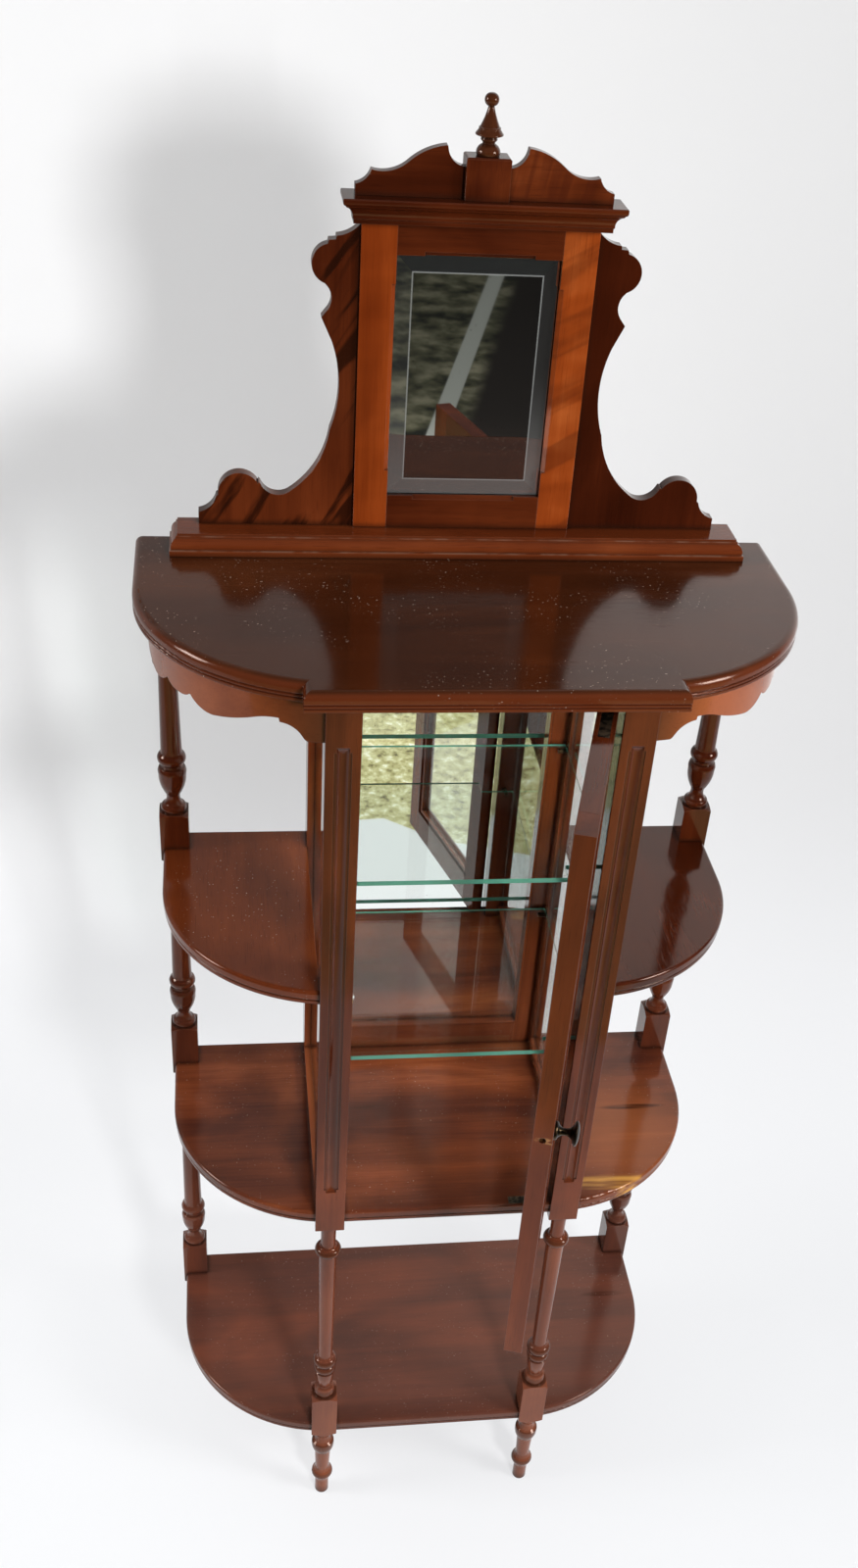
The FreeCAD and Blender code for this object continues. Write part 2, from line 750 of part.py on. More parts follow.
def rear_peg_hole(top):
    """Where a rear peg sits, on the right: in the side frame's rear stile."""
    height = top - glass_thickness - peg_diameter / 2
    y = -glass_back - rear_peg_inset
    return cylinder(peg_diameter / 2, Vector(side_frame_inner, y, height),
                    Vector(side_frame_inner + peg_hold, y, height))


def rear_peg(top):
    height = top - glass_thickness - peg_diameter / 2
    y = -glass_back - rear_peg_inset
    return cylinder(peg_diameter / 2, Vector(side_frame_inner - peg_reach, y, height),
                    Vector(side_frame_inner + peg_hold, y, height))


def front_peg(top, reach):
    """A peg out of the left front post's back face."""
    height = top - glass_thickness - peg_diameter / 2
    x = -(post_inner + glass_half_width) / 2
    return cylinder(peg_diameter / 2, Vector(x, -post_back - peg_hold, height),
                    Vector(x, -post_back + reach, height))


def front_peg_holes():
    return [front_peg(upper_glass_top, 0), front_peg(lower_glass_top, 0)]


def shelf_pegs():
    pegs = []
    for top in (upper_glass_top, lower_glass_top):
        pegs += [rear_peg(top), mirrored(rear_peg(top)), front_peg(top, left_peg_reach),
                 mirrored(front_peg(top, right_peg_reach))]
    return Part.makeCompound(pegs)


# Door, made closed and then swung open

def swung_open(shape):
    shape.rotate(Vector(pivot_x, pivot_y, 0), Vector(0, 0, 1), door_open_angle)
    return shape


def plate(bottom, length):
    """A pivot plate, round at its pin end."""
    half = plate_width / 2
    bar = box(pivot_x - length + half, pivot_x, pivot_y - half, pivot_y + half, bottom,
              bottom + plate_thickness)
    end = Part.makeCylinder(half, plate_thickness, Vector(pivot_x, pivot_y, bottom))
    return fused([bar, end])


def pin(bottom, top, clearance):
    return cylinder(pin_diameter / 2 + clearance, Vector(pivot_x, pivot_y, bottom),
                    Vector(pivot_x, pivot_y, top))


def boss(bottom, top):
    return cylinder(boss_diameter / 2, Vector(pivot_x, pivot_y, bottom), Vector(pivot_x, pivot_y, top))


def screws(face, direction, length, plate_length):
    """Two countersunk screws in a plate. face is the height of their heads, direction their way."""
    pieces = []
    for share in screw_share:
        place = Vector(pivot_x - (plate_length - plate_width / 2) * share, pivot_y, face)
        way = Vector(0, 0, direction)
        head = Part.makeCone(screw_head_radius, screw_shank_radius, screw_head_height, place, way)
        shank = Part.makeCylinder(screw_shank_radius, length, place, way)
        pieces.append(fused([head, shank]))
    return pieces


def floor_screws():
    return screws(cabinet_floor_top, -1, screw_length, frame_plate_length)


def head_screws():
    return screws(cabinet_head, 1, head_screw_length, frame_plate_length)


def door_top_screws():
    return screws(door_top, -1, screw_length, door_plate_length)


def door_bottom_screws():
    return screws(door_bottom, 1, screw_length, door_plate_length)


def pivot_top_frame():
    low = door_top + plate_gap
    shape = fused([plate(cabinet_head, frame_plate_length), boss(low, cabinet_head),
                   pin(door_top - plate_thickness, low, 0)])
    return shape.cut(head_screws())


def pivot_bottom_frame():
    high = door_bottom - plate_gap
    shape = fused([plate(cabinet_floor_top - plate_thickness, frame_plate_length),
                   boss(cabinet_floor_top, high), pin(high, door_bottom + plate_thickness, 0)])
    return shape.cut(floor_screws())


def door_pivot(bottom, screw_pieces):
    hole = pin(bottom - overrun, bottom + plate_thickness + overrun, pin_clearance)
    return plate(bottom, door_plate_length).cut([hole] + screw_pieces)


def door_sheet(near, far, inset):
    """A sheet over the door's opening, between two distances behind its face."""
    return box(door_left + door_stile_width - glazing_lap + inset,
               door_right - door_stile_width + glazing_lap - inset,
               -door_front + near, -door_front + far,
               door_bottom + door_bottom_rail - glazing_lap + inset,
               door_top - door_top_rail + glazing_lap - inset)


def door_cuts():
    """What is cut out of the door's frame: the plates and screws, the pane and its bead."""
    rebate = door_sheet(door_pane_depth, door_thickness + overrun, 0)
    fittings = [plate(door_top - plate_thickness, door_plate_length),
                plate(door_bottom, door_plate_length)]
    return fittings + door_top_screws() + door_bottom_screws() + [rebate]


def door_stile_hinge():
    """The stile with the pivots. Its front edge is rounded about them, to turn beside the post."""
    half = door_thickness / 2
    stile = box(door_right - door_stile_width, door_right, -door_front, -door_back, door_bottom, door_top)
    corner = box(pivot_x, door_right + overrun, -door_front - overrun, pivot_y, door_bottom, door_top)
    rounded = cylinder(half, Vector(pivot_x, pivot_y, door_bottom), Vector(pivot_x, pivot_y, door_top))
    return fused([stile.cut(corner), rounded]).cut(door_cuts())


def door_stile_lock():
    stile = box(door_left, door_left + door_stile_width, -door_front, -door_back, door_bottom, door_top)
    stile = eased(stile, door_left)
    strike = cylinder(strike_radius, Vector(door_left, pivot_y, catch_height),
                      Vector(door_left + strike_depth, pivot_y, catch_height))
    knob_x = door_left + knob_from_edge
    spigot = cylinder(knob_spigot_radius, Vector(knob_x, -door_front, knob_height),
                      Vector(knob_x, -door_front + knob_spigot_length, knob_height))
    return stile.cut(door_cuts() + [strike, spigot])


def door_rail(bottom, width):
    rail = box(door_left + door_stile_width, door_right - door_stile_width, -door_front, -door_back,
               bottom, bottom + width)
    return rail.cut(door_cuts())


def door_glass():
    return door_sheet(door_pane_depth, door_pane_depth + pane_thickness, 0)


def door_bead():
    """The four strips that hold the pane from behind."""
    near = door_pane_depth + pane_thickness
    far = near + door_bead_thickness
    around = door_sheet(near, far, 0).BoundBox
    within = door_sheet(near, far, door_bead_width).BoundBox
    strips = [box(around.XMin, around.XMax, around.YMin, around.YMax, around.ZMin, within.ZMin),
              box(around.XMin, around.XMax, around.YMin, around.YMax, within.ZMax, around.ZMax),
              box(around.XMin, within.XMin, around.YMin, around.YMax, within.ZMin, within.ZMax),
              box(within.XMax, around.XMax, around.YMin, around.YMax, within.ZMin, within.ZMax)]
    return Part.makeCompound(strips)


def knob():
    shape = turned(knob_shares, knob_radius, 0, knob_reach)
    spigot = cylinder(knob_spigot_radius, Vector(0, 0, -knob_spigot_length), Vector(0, 0, 0))
    shape = fused([shape, spigot])
    shape.rotate(Vector(0, 0, 0), Vector(1, 0, 0), 90)
    shape.translate(Vector(door_left + knob_from_edge, -door_front, knob_height))
    return shape


# Ball catch in the left post

def catch_line(x):
    return Vector(x, pivot_y, catch_height)


def catch_room():
    face = -post_inner
    return cylinder(barrel_radius, catch_line(face), catch_line(face - barrel_length))


def catch_barrel():
    """The catch's brass barrel and its flange, bored for the ball and its spring."""
    face = -post_inner
    front = face + barrel_flange_thickness
    barrel = cylinder(barrel_radius, catch_line(face), catch_line(face - barrel_length))
    flange = cylinder(barrel_flange_radius, catch_line(face), catch_line(front))
    bore = cylinder(ball_radius + ball_clearance, catch_line(front - barrel_lip),
                    catch_line(face - barrel_length + barrel_floor))
    mouth = cylinder(barrel_mouth_radius, catch_line(face), catch_line(front + overrun))
    return fused([barrel, flange]).cut([bore, mouth])


def catch_spring():
    """The coil behind the ball, drawn as short as it gets, on the barrel's floor."""
    start = catch_line(-post_inner - barrel_length + barrel_floor + spring_wire_radius)
    ball_back = 2 * ball_radius - ball_stand_out + ball_travel
    room = barrel_length - barrel_floor - ball_back
    height = room - 2 * spring_wire_radius - spring_clearance
    helix = Part.makeHelix(height / spring_turns, height, spring_coil_radius)
    wire = Part.makeCircle(spring_wire_radius, Vector(spring_coil_radius, 0, 0), Vector(0, 1, 0))
    coil = Part.Wire(helix.Edges).makePipeShell([Part.Wire(wire)], True, True)
    coil.rotate(Vector(0, 0, 0), Vector(0, 1, 0), 90)
    coil.translate(start)
    return coil


def catch_ball():
    centre = -post_inner + ball_stand_out - ball_radius
    return Part.makeSphere(ball_radius, catch_line(centre))


# Gallery

def slab_on_three_sides(half_width, depth, bottom, height, rows, slope):
    """A slab moulded alike on its front and both ends. The rows start at the bottom: share of the
    slope that the edge stands back, share of the height."""
    def front_place(out_share, height_share):
        return Vector(-half_width, -(depth - slope * out_share), bottom + height * height_share)

    def right_place(out_share, height_share):
        return Vector(half_width - slope * out_share, -depth, bottom + height * height_share)

    def left_place(out_share, height_share):
        return Vector(-half_width + slope * out_share, -depth, bottom + height * height_share)
    low, high = Vector(-half_width, 0, bottom), Vector(-half_width, 0, bottom + height)
    front = trace(rows, front_place)
    front += joined([front_place(rows[-1][-2], 1), high, low, front_place(rows[0][1], 0)])
    ends = trace(rows, right_place) + trace(rows, left_place)
    ends += joined([right_place(rows[-1][-2], 1), left_place(rows[-1][-2], 1)])
    ends += joined([right_place(rows[0][1], 0), left_place(rows[0][1], 0)])
    ends = Part.Face(Part.Wire(Part.__sortEdges__(ends))).extrude(Vector(0, depth, 0))
    return prism(front, Vector(2 * half_width, 0, 0)).common(ends)


gallery_base_shares = [
    ("line", 0.0, 0.0), ("line", 0.0, 0.26), ("line", 0.22, 0.30), ("arc", 0.30, 0.60, 0.80, 0.80),
    ("line", 0.80, 0.88), ("line", 1.0, 0.92), ("line", 1.0, 1.0)]
cornice_shares = [
    ("line", 1.0, 0.0), ("line", 1.0, 0.16), ("line", 0.90, 0.20), ("arc", 0.72, 0.52, 0.30, 0.66),
    ("line", 0.22, 0.72), ("arc", 0.05, 0.78, 0.0, 0.88), ("line", 0.0, 0.96), ("line", 0.06, 1.0)]


def gallery_base():
    return slab_on_three_sides(gallery_base_half_width, gallery_base_depth, top_board_top,
                               gallery_base_height, gallery_base_shares, gallery_base_slope)


def cornice():
    return slab_on_three_sides(cornice_half_width, cornice_depth, gallery_top, cornice_height,
                               cornice_shares, cornice_slope)


def gallery_panel(set_back, thickness):
    """A sheet in the gallery frame's rebate. set_back is from the frame's face."""
    half = gallery_frame_half_width - gallery_stile_width + gallery_rebate
    front = -gallery_frame_thickness + set_back
    return box(-half, half, front, front + thickness, gallery_bottom + gallery_bottom_rail - gallery_rebate,
               gallery_top - gallery_top_rail + gallery_rebate)


def sight_chamfer():
    """The stopped chamfer round the mirror's opening, on the frame's face."""
    half = gallery_frame_half_width - gallery_stile_width
    low = gallery_bottom + gallery_bottom_rail
    high = gallery_top - gallery_top_rail
    face = -gallery_frame_thickness
    cuts = []
    for side in (-1, 1):
        edge = side * half
        points = [Vector(edge + side * edge_chamfer, face, low + chamfer_stop),
                  Vector(edge, face, low + chamfer_stop),
                  Vector(edge, face + edge_chamfer, low + chamfer_stop)]
        cuts.append(prism(joined(points + points[:1]), Vector(0, 0, high - low - 2 * chamfer_stop)))
    for edge, out in ((low, -1), (high, 1)):
        points = [Vector(-half + chamfer_stop, face, edge + out * edge_chamfer),
                  Vector(-half + chamfer_stop, face, edge),
                  Vector(-half + chamfer_stop, face + edge_chamfer, edge)]
        cuts.append(prism(joined(points + points[:1]), Vector(2 * half - 2 * chamfer_stop, 0, 0)))
    return cuts


def gallery_stile():
    stile = box(gallery_frame_half_width - gallery_stile_width, gallery_frame_half_width,
                -gallery_frame_thickness, 0, gallery_bottom, gallery_top)
    stile = eased(stile, gallery_frame_half_width)
    return stile.cut([gallery_panel(gallery_mirror_set, gallery_frame_thickness)] + sight_chamfer())


def gallery_rail(bottom, height):
    half = gallery_frame_half_width - gallery_stile_width
    rail = box(-half, half, -gallery_frame_thickness, 0, bottom, bottom + height)
    return rail.cut([gallery_panel(gallery_mirror_set, gallery_frame_thickness)] + sight_chamfer())


def gallery_mirror():
    """A mirror with a wide bevel round its face."""
    sheet = gallery_panel(gallery_mirror_set, gallery_mirror_thickness)
    hidden = gallery_rebate + gallery_bevel_width
    bounds = sheet.BoundBox
    middle = bounds.YMin + gallery_bevel_depth

    def outline(inset, y):
        corners = [Vector(bounds.XMin + inset, y, bounds.ZMin + inset),
                   Vector(bounds.XMax - inset, y, bounds.ZMin + inset),
                   Vector(bounds.XMax - inset, y, bounds.ZMax - inset),
                   Vector(bounds.XMin + inset, y, bounds.ZMax - inset)]
        return Part.Wire(joined(corners + corners[:1]))
    face = Part.makeLoft([outline(gallery_rebate, middle), outline(hidden, bounds.YMin)], True, True)
    back = box(bounds.XMin, bounds.XMax, middle, bounds.YMax, bounds.ZMin, bounds.ZMax)
    return fused([face, back])


def gallery_board():
    return gallery_panel(gallery_mirror_set + gallery_mirror_thickness, gallery_board_thickness)


def gallery_wing():
    """The fretted board beside the mirror, on the right."""
    def place(width_share, height_share):
        return Vector(gallery_frame_half_width + wing_width * width_share, -wing_thickness,
                      gallery_bottom + wing_height * height_share)
    edges = trace(wing_shares, place) + joined([place(1, 0), place(0, 0), place(0, 1)])
    return prism(edges, Vector(0, wing_thickness, 0))


def pediment():
    """The scrolled board on the cornice, right of the plinth block."""
    def place(length_share, height_share):
        return Vector(plinth_half_width + (pediment_end - plinth_half_width) * length_share,
                      -pediment_set - pediment_thickness, cornice_top + pediment_height * height_share)
    start = place(0, pediment_shares[0][2])
    edges = trace(pediment_shares, place) + joined([place(1, 0), place(0, 0), start])
    return prism(edges, Vector(0, pediment_thickness, 0))


def finial_block():
    shape = box(-plinth_half_width, plinth_half_width, -plinth_set - plinth_depth, -plinth_set,
                cornice_top, plinth_top)
    return shape.makeChamfer(plinth_chamfer, level_edges(shape, plinth_top))


def finial():
    shape = turned(finial_shares, finial_radius, plinth_top, finial_height)
    return at(shape, 0, -plinth_set - plinth_depth / 2)


# Every piece by its name

def pairs():
    """Pieces that stand on both sides, as made for the right."""
    return {"wing_shelf": wing_shelf(), "back_post": back_post(), "apron": apron(),
            "side_stile": side_stile(), "side_rail_top": side_rail_top(),
            "side_rail_bottom": side_rail_bottom(), "side_glass": side_pane(),
            "back_stile": back_stile(), "gallery_stile": gallery_stile(),
            "gallery_wing": gallery_wing(), "pediment": pediment()}


def single_pieces():
    return {"top_board": top_board(), "bottom_shelf": bottom_shelf(), "cabinet_floor": cabinet_floor(),
            "front_post_left": left_front_post(), "front_post_right": right_front_post(),
            "head_rail": head_rail(),
            "back_rail_bottom": back_rail(cabinet_floor_top,
                                          cabinet_floor_top + back_rail_height - back_bead / 2),
            "back_rail_top": back_rail(top_underside - back_rail_height,
                                       top_underside - back_rail_height + back_bead / 2),
            "back_mirror": back_mirror(), "backboard": backboard(),
            "glass_shelf_upper": glass_shelf(upper_glass_top),
            "glass_shelf_lower": glass_shelf(lower_glass_top), "shelf_pegs": shelf_pegs(),
            "pivot_top_frame": pivot_top_frame(), "pivot_bottom_frame": pivot_bottom_frame(),
            "frame_pivot_screws": Part.makeCompound(head_screws() + floor_screws()),
            "catch_barrel": catch_barrel(), "catch_spring": catch_spring(), "catch_ball": catch_ball(),
            "gallery_base": gallery_base(),
            "gallery_rail_bottom": gallery_rail(gallery_bottom, gallery_bottom_rail),
            "gallery_rail_top": gallery_rail(gallery_top - gallery_top_rail, gallery_top_rail),
            "gallery_mirror": gallery_mirror(), "gallery_board": gallery_board(), "cornice": cornice(),
            "finial_block": finial_block(), "finial": finial()}


def door_pieces():
    return {"door_stile_hinge": door_stile_hinge(), "door_stile_lock": door_stile_lock(),
            "door_rail_top": door_rail(door_top - door_top_rail, door_top_rail),
            "door_rail_bottom": door_rail(door_bottom, door_bottom_rail),
            "door_glass": door_glass(), "door_bead": door_bead(), "knob": knob(),
            "pivot_top_door": door_pivot(door_top - plate_thickness, door_top_screws()),
            "pivot_bottom_door": door_pivot(door_bottom, door_bottom_screws()),
            "door_pivot_screws": Part.makeCompound(door_top_screws() + door_bottom_screws())}


def all_pieces():
    pieces = single_pieces()
    for name, shape in pairs().items():
        pieces[name + "_right"] = shape
        pieces[name + "_left"] = mirrored(shape)
    for name, shape in door_pieces().items():
        pieces[name] = swung_open(shape)
    return pieces


os.makedirs("parts", exist_ok=True)
for name, shape in all_pieces().items():
    shape.translate(origin_shift)
    shape.exportStep("parts/" + name + ".step")
    print(name, "volume", round(shape.Volume), "valid", shape.isValid())
print("door axis", round(pivot_x, 3), round(pivot_y + origin_shift.y, 3))
print("catch line", round(-post_inner, 3), round(pivot_y + origin_shift.y, 3), catch_height)
print("shift", round(origin_shift.y, 3), "height", plinth_top + finial_height)
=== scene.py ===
# %% [markdown]
# # A curio shelf in polished mahogany
# The construction comes in finished: every board, post, pane and pin already stands at its real
# size. What is left for Blender is what a polisher, a glazier and a photographer do: the finish of
# each surface, the small beads that hold the side panes, the light and the view. So this lesson
# loads the pieces, lights them, and then spends most of its cells on materials.

# %% Load the construction
import math

import bpy
from mathutils import Matrix, Vector


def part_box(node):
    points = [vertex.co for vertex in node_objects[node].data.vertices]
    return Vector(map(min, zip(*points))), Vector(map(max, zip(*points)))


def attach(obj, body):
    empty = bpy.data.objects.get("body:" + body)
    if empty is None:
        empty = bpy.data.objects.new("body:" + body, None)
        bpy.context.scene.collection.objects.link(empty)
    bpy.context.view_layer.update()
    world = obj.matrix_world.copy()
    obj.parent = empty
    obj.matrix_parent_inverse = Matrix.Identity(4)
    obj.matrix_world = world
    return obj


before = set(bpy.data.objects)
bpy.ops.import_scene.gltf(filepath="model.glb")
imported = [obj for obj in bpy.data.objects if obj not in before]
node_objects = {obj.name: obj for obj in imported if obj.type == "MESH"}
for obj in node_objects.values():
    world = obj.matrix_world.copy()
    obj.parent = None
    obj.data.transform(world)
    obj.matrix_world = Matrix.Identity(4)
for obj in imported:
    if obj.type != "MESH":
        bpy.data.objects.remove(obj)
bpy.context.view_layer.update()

millimetre = 0.001

# %% [markdown]
# The camera is worked out from the photograph, not placed by eye. Straight edges, such as the
# boards' fronts and the square posts, fix where it stood, how it was turned and how long its lens
# was. The picture was cropped a little off its optical centre, which is what a lens shift
# describes. Places are counted from the middle of the boards' back edge on the floor.

# %% Camera
photo_width_px = 875
photo_height_px = 1600
focal_length_px = 1621.8
optical_centre_px = (460.1, 949.5)
sensor_long_side_mm = 36.0
camera_from_back = Vector((-221.8, -1422.2, 1797.4)) * millimetre
camera_yaw = -0.1723
camera_pitch = -0.6565
camera_roll = 0.0831

back_of_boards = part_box("top_board")[1][1]
datum = Vector((0, back_of_boards, 0))


def camera_axes(yaw, pitch, roll):
    """The directions to the camera's right, up and forward."""
    level = math.cos(pitch)
    forward = Vector((-math.sin(yaw) * level, math.cos(yaw) * level, math.sin(pitch)))
    level_right = Vector((math.cos(yaw), math.sin(yaw), 0))
    level_up = level_right.cross(forward)
    right = math.cos(roll) * level_right + math.sin(roll) * level_up
    up = math.cos(roll) * level_up - math.sin(roll) * level_right
    return right, up, forward


def make_camera():
    """With AUTO, the sensor's width is laid along the picture's longer side, here its height."""
    data = bpy.data.cameras.new("camera")
    data.sensor_fit = "AUTO"
    data.sensor_width = sensor_long_side_mm
    data.lens = focal_length_px / photo_height_px * sensor_long_side_mm
    data.shift_x = (photo_width_px / 2 - optical_centre_px[0]) / photo_height_px
    data.shift_y = (optical_centre_px[1] - photo_height_px / 2) / photo_height_px
    camera = bpy.data.objects.new("camera", data)
    bpy.context.scene.collection.objects.link(camera)
    right, up, forward = camera_axes(camera_yaw, camera_pitch, camera_roll)
    turn = Matrix((right, up, -forward)).transposed()
    camera.matrix_world = Matrix.Translation(datum + camera_from_back) @ turn.to_4x4()
    return camera


bpy.context.scene.camera = make_camera()
bpy.context.scene.view_settings.view_transform = "Standard"
print("lens mm", round(bpy.context.scene.camera.data.lens, 2))

# %% [markdown]
# Materials are written as sums. A small class stands for one socket in a material's node tree and
# overloads the arithmetic that is used here, so `1 - mask` adds its own Math node.

# %% Sums on sockets
class Signal:
    """A number, colour or vector that varies over a surface."""

    def __init__(self, recipe, socket):
        self.recipe = recipe
        self.socket = socket

    def _maths(self, operation, first, second=0.0, clamp=False):
        settings = {"operation": operation, "use_clamp": clamp}
        return self.recipe.signal("ShaderNodeMath", settings, {0: first, 1: second})

    def __add__(self, other):
        return self._maths("ADD", self, other)

    def __radd__(self, other):
        return self._maths("ADD", other, self)

    def __sub__(self, other):
        return self._maths("SUBTRACT", self, other)

    def __rsub__(self, other):
        return self._maths("SUBTRACT", other, self)

    def __mul__(self, other):
        return self._maths("MULTIPLY", self, other)

    def __rmul__(self, other):
        return self._maths("MULTIPLY", other, self)

    def limited(self):
        """Kept between 0 and 1."""
        return self._maths("ADD", self, clamp=True)

    def unsigned(self):
        """The number without its sign."""
        return self._maths("ABSOLUTE", self)

    def at_least(self, other):
        return self._maths("MAXIMUM", self, other)

    def ramp(self, low, high):
        """Rises smoothly from 0 to 1 between two values."""
        settings = {"interpolation_type": "SMOOTHSTEP"}
        sockets = {"Value": self, "From Min": low, "From Max": high}
        return self.recipe.signal("ShaderNodeMapRange", settings, sockets)


print("sums ready")

# %% [markdown]
# Every other node comes from one method, which takes a node's type, its settings and the values or
# links of its sockets. The rest of this class gives short names to what the finishes ask for again
# and again: a noise, a blend of two colours, a soft patch, a bump.

# %% Nodes by one method
class Recipe:
    """A material and the nodes that make it."""

    def __init__(self, name):
        self.material = bpy.data.materials.new(name)
        self.material.use_nodes = True
        self.tree = self.material.node_tree
        self.tree.nodes.clear()
        self.output = self.tree.nodes.new("ShaderNodeOutputMaterial")

    def node(self, kind, settings, sockets):
        """Adds a node: its settings first, then the values or links of its sockets."""
        node = self.tree.nodes.new(kind)
        for key, value in settings.items():
            if key == "stops":
                set_stops(node.color_ramp, value)
            else:
                setattr(node, key, value)
        for key, value in sockets.items():
            if isinstance(value, Signal):
                self.tree.links.new(value.socket, node.inputs[key])
            else:
                node.inputs[key].default_value = value
        return node

    def signal(self, kind, settings, sockets, result=0):
        return Signal(self, self.node(kind, settings, sockets).outputs[result])

    def place(self):
        return self.signal("ShaderNodeTexCoord", {}, {}, "Object")

    def own_normal(self):
        """Which way the surface faces, counted on the piece itself, so it turns with the door."""
        return self.signal("ShaderNodeTexCoord", {}, {}, "Normal")

    def axis(self, vector, name):
        """One of a vector's three numbers: X, Y or Z."""
        return self.signal("ShaderNodeSeparateXYZ", {}, {0: vector}, name)

    def ray(self, kind):
        """1 for light on one kind of path, such as Camera or Shadow, and 0 for all other light."""
        return self.signal("ShaderNodeLightPath", {}, {}, "Is " + kind + " Ray")

    def moved(self, vector, **how):
        sockets = {"Vector": vector}
        sockets.update({key.title(): value for key, value in how.items()})
        return self.signal("ShaderNodeMapping", {}, sockets)

    def noise(self, vector, scale=1.0, detail=3.0, roughness=0.5, distortion=0.0):
        sockets = {"Vector": vector, "Scale": scale, "Detail": detail, "Roughness": roughness,
                   "Distortion": distortion}
        return self.signal("ShaderNodeTexNoise", {}, sockets, "Fac")

    def colours(self, value, stops):
        return self.signal("ShaderNodeValToRGB", {"stops": stops}, {0: value})

    def blend(self, share, first, second):
        """A colour between two colours. Sockets 6 and 7 of a Mix node are its colours."""
        sockets = {0: share, 6: first, 7: second}
        return self.signal("ShaderNodeMix", {"data_type": "RGBA"}, sockets, 2)

    def stained(self, colour, stain, where, strength):
        """A colour with a stain laid over it, where a mask says and so strongly."""
        return self.blend(where * strength, colour, stain)

    def vector_maths(self, operation, *vectors, result=0):
        sockets = dict(enumerate(vectors))
        return self.signal("ShaderNodeVectorMath", {"operation": operation}, sockets, result)

    def near(self, vector, centre, reach, soft=0.5):
        """1 close to a place, and 0 further away than its reach."""
        away = self.vector_maths("SUBTRACT", vector, centre)
        scaled = self.vector_maths("DIVIDE", away, reach)
        length = self.vector_maths("LENGTH", scaled, result="Value")
        return 1.0 - length.ramp(1.0 - soft, 1.0)

    def bump(self, height, strength, distance, **more):
        sockets = {"Height": height, "Strength": strength, "Distance": distance}
        return self.signal("ShaderNodeBump", {}, sockets | more)

    def shader(self, **sockets):
        """A Principled shader. A name's underscores stand for spaces."""
        named = {key.replace("_", " "): value for key, value in sockets.items()}
        return self.node("ShaderNodeBsdfPrincipled", {}, named)

    def clear(self, tint):
        return self.node("ShaderNodeBsdfTransparent", {}, {"Color": tint})

    def mixed(self, share, first, second):
        """A shader between two shaders."""
        mix = self.node("ShaderNodeMixShader", {}, {0: share})
        self.tree.links.new(first.outputs[0], mix.inputs[1])
        self.tree.links.new(second.outputs[0], mix.inputs[2])
        return mix

    def finished(self, shader):
        """Ends the material in a shader."""
        self.tree.links.new(shader.outputs[0], self.output.inputs[0])
        return self.material


def set_stops(ramp, stops):
    while len(ramp.elements) < len(stops):
        ramp.elements.new(0.5)
    for element, (position, colour) in zip(ramp.elements, stops):
        element.position = position
        element.color = (*colour, 1.0)


print("nodes ready")

# %% [markdown]
# The shelf stands on white paper that runs from the floor up behind it in one sweep, so no line
# shows where the wall begins. A plain mesh serves: the sweep seen from the side is a short list of
# places, repeated at each place along the paper's front edge. That edge lies a metre in front of
# the shelf and is cut in a ragged curve, because the mirrors show it.

# %% The paper's shape
paper_back = 0.25
sweep_radius = 0.80
paper_height = 4.2
sweep_steps = 24
# The paper's front edge as places (x, y), from the left to the right.
paper_edge = [(-3.4, -1.10), (-0.6, -1.06), (0.04, -1.014), (0.085, -1.018), (0.14, -0.976),
              (0.175, -0.946), (0.6, -0.80), (3.4, -0.74)]


def staged(name, points, faces, material):
    """A surface of the studio, which isn't part of the shelf."""
    mesh = bpy.data.meshes.new(name)
    mesh.from_pydata(points, [], faces)
    mesh.polygons.foreach_set("use_smooth", [True] * len(mesh.polygons))
    mesh.materials.append(material)
    obj = bpy.data.objects.new(name, mesh)
    bpy.context.scene.collection.objects.link(obj)
    return obj


def paper_profile():
    """The sweep from the side, as places (y, z), from the floor up."""
    profile = []
    for step in range(sweep_steps + 1):
        turn = step / sweep_steps * math.pi / 2
        back, up = math.sin(turn), 1 - math.cos(turn)
        profile.append((paper_back + sweep_radius * back, sweep_radius * up))
    profile.append((paper_back + sweep_radius, paper_height))
    return profile


def lay_paper(material):
    """The floor's part follows the ragged edge; the rest is the same from side to side."""
    rows = [[(x, y, 0.0) for x, y in paper_edge]]
    rows += [[(x, y, z) for x, _ in paper_edge] for y, z in paper_profile()]
    across = len(paper_edge)
    points = [point for row in rows for point in row]
    faces = []
    for row in range(len(rows) - 1):
        for column in range(across - 1):
            corner = row * across + column
            faces.append((corner, corner + 1, corner + across + 1, corner + across))
    return staged("paper", points, faces, material)


print("paper's profile:", len(paper_profile()), "places")

# %% [markdown]
# The paper has to look white while the lamps stay at a plain level, where the wood isn't bleached.
# So it glows a little by itself, but only where the camera, the polish or the glass looks at it,
# and the shelf still throws its shadow on it. In the polish the wall is dark on the left and pale
# on the right, which gives the boards one dull end and one bright one.

# %% The paper's finish
floor_glow = 0.64
glow_top = 0.5
glow_colour = (0.97, 0.98, 1.0, 1)
wall_rise = (0.3, 0.7)
pale_share = 0.3
pale_side = (0.1, 0.8)
paper_tones = ((0.76, 0.76, 0.77, 1), (0.58, 0.58, 0.59, 1))
paper_side = (-0.3, 0.9)
mirrored_tones = ((0.36, 0.36, 0.36, 1), (0.94, 0.94, 0.94, 1))
mirrored_side = (-0.3, 0.7)


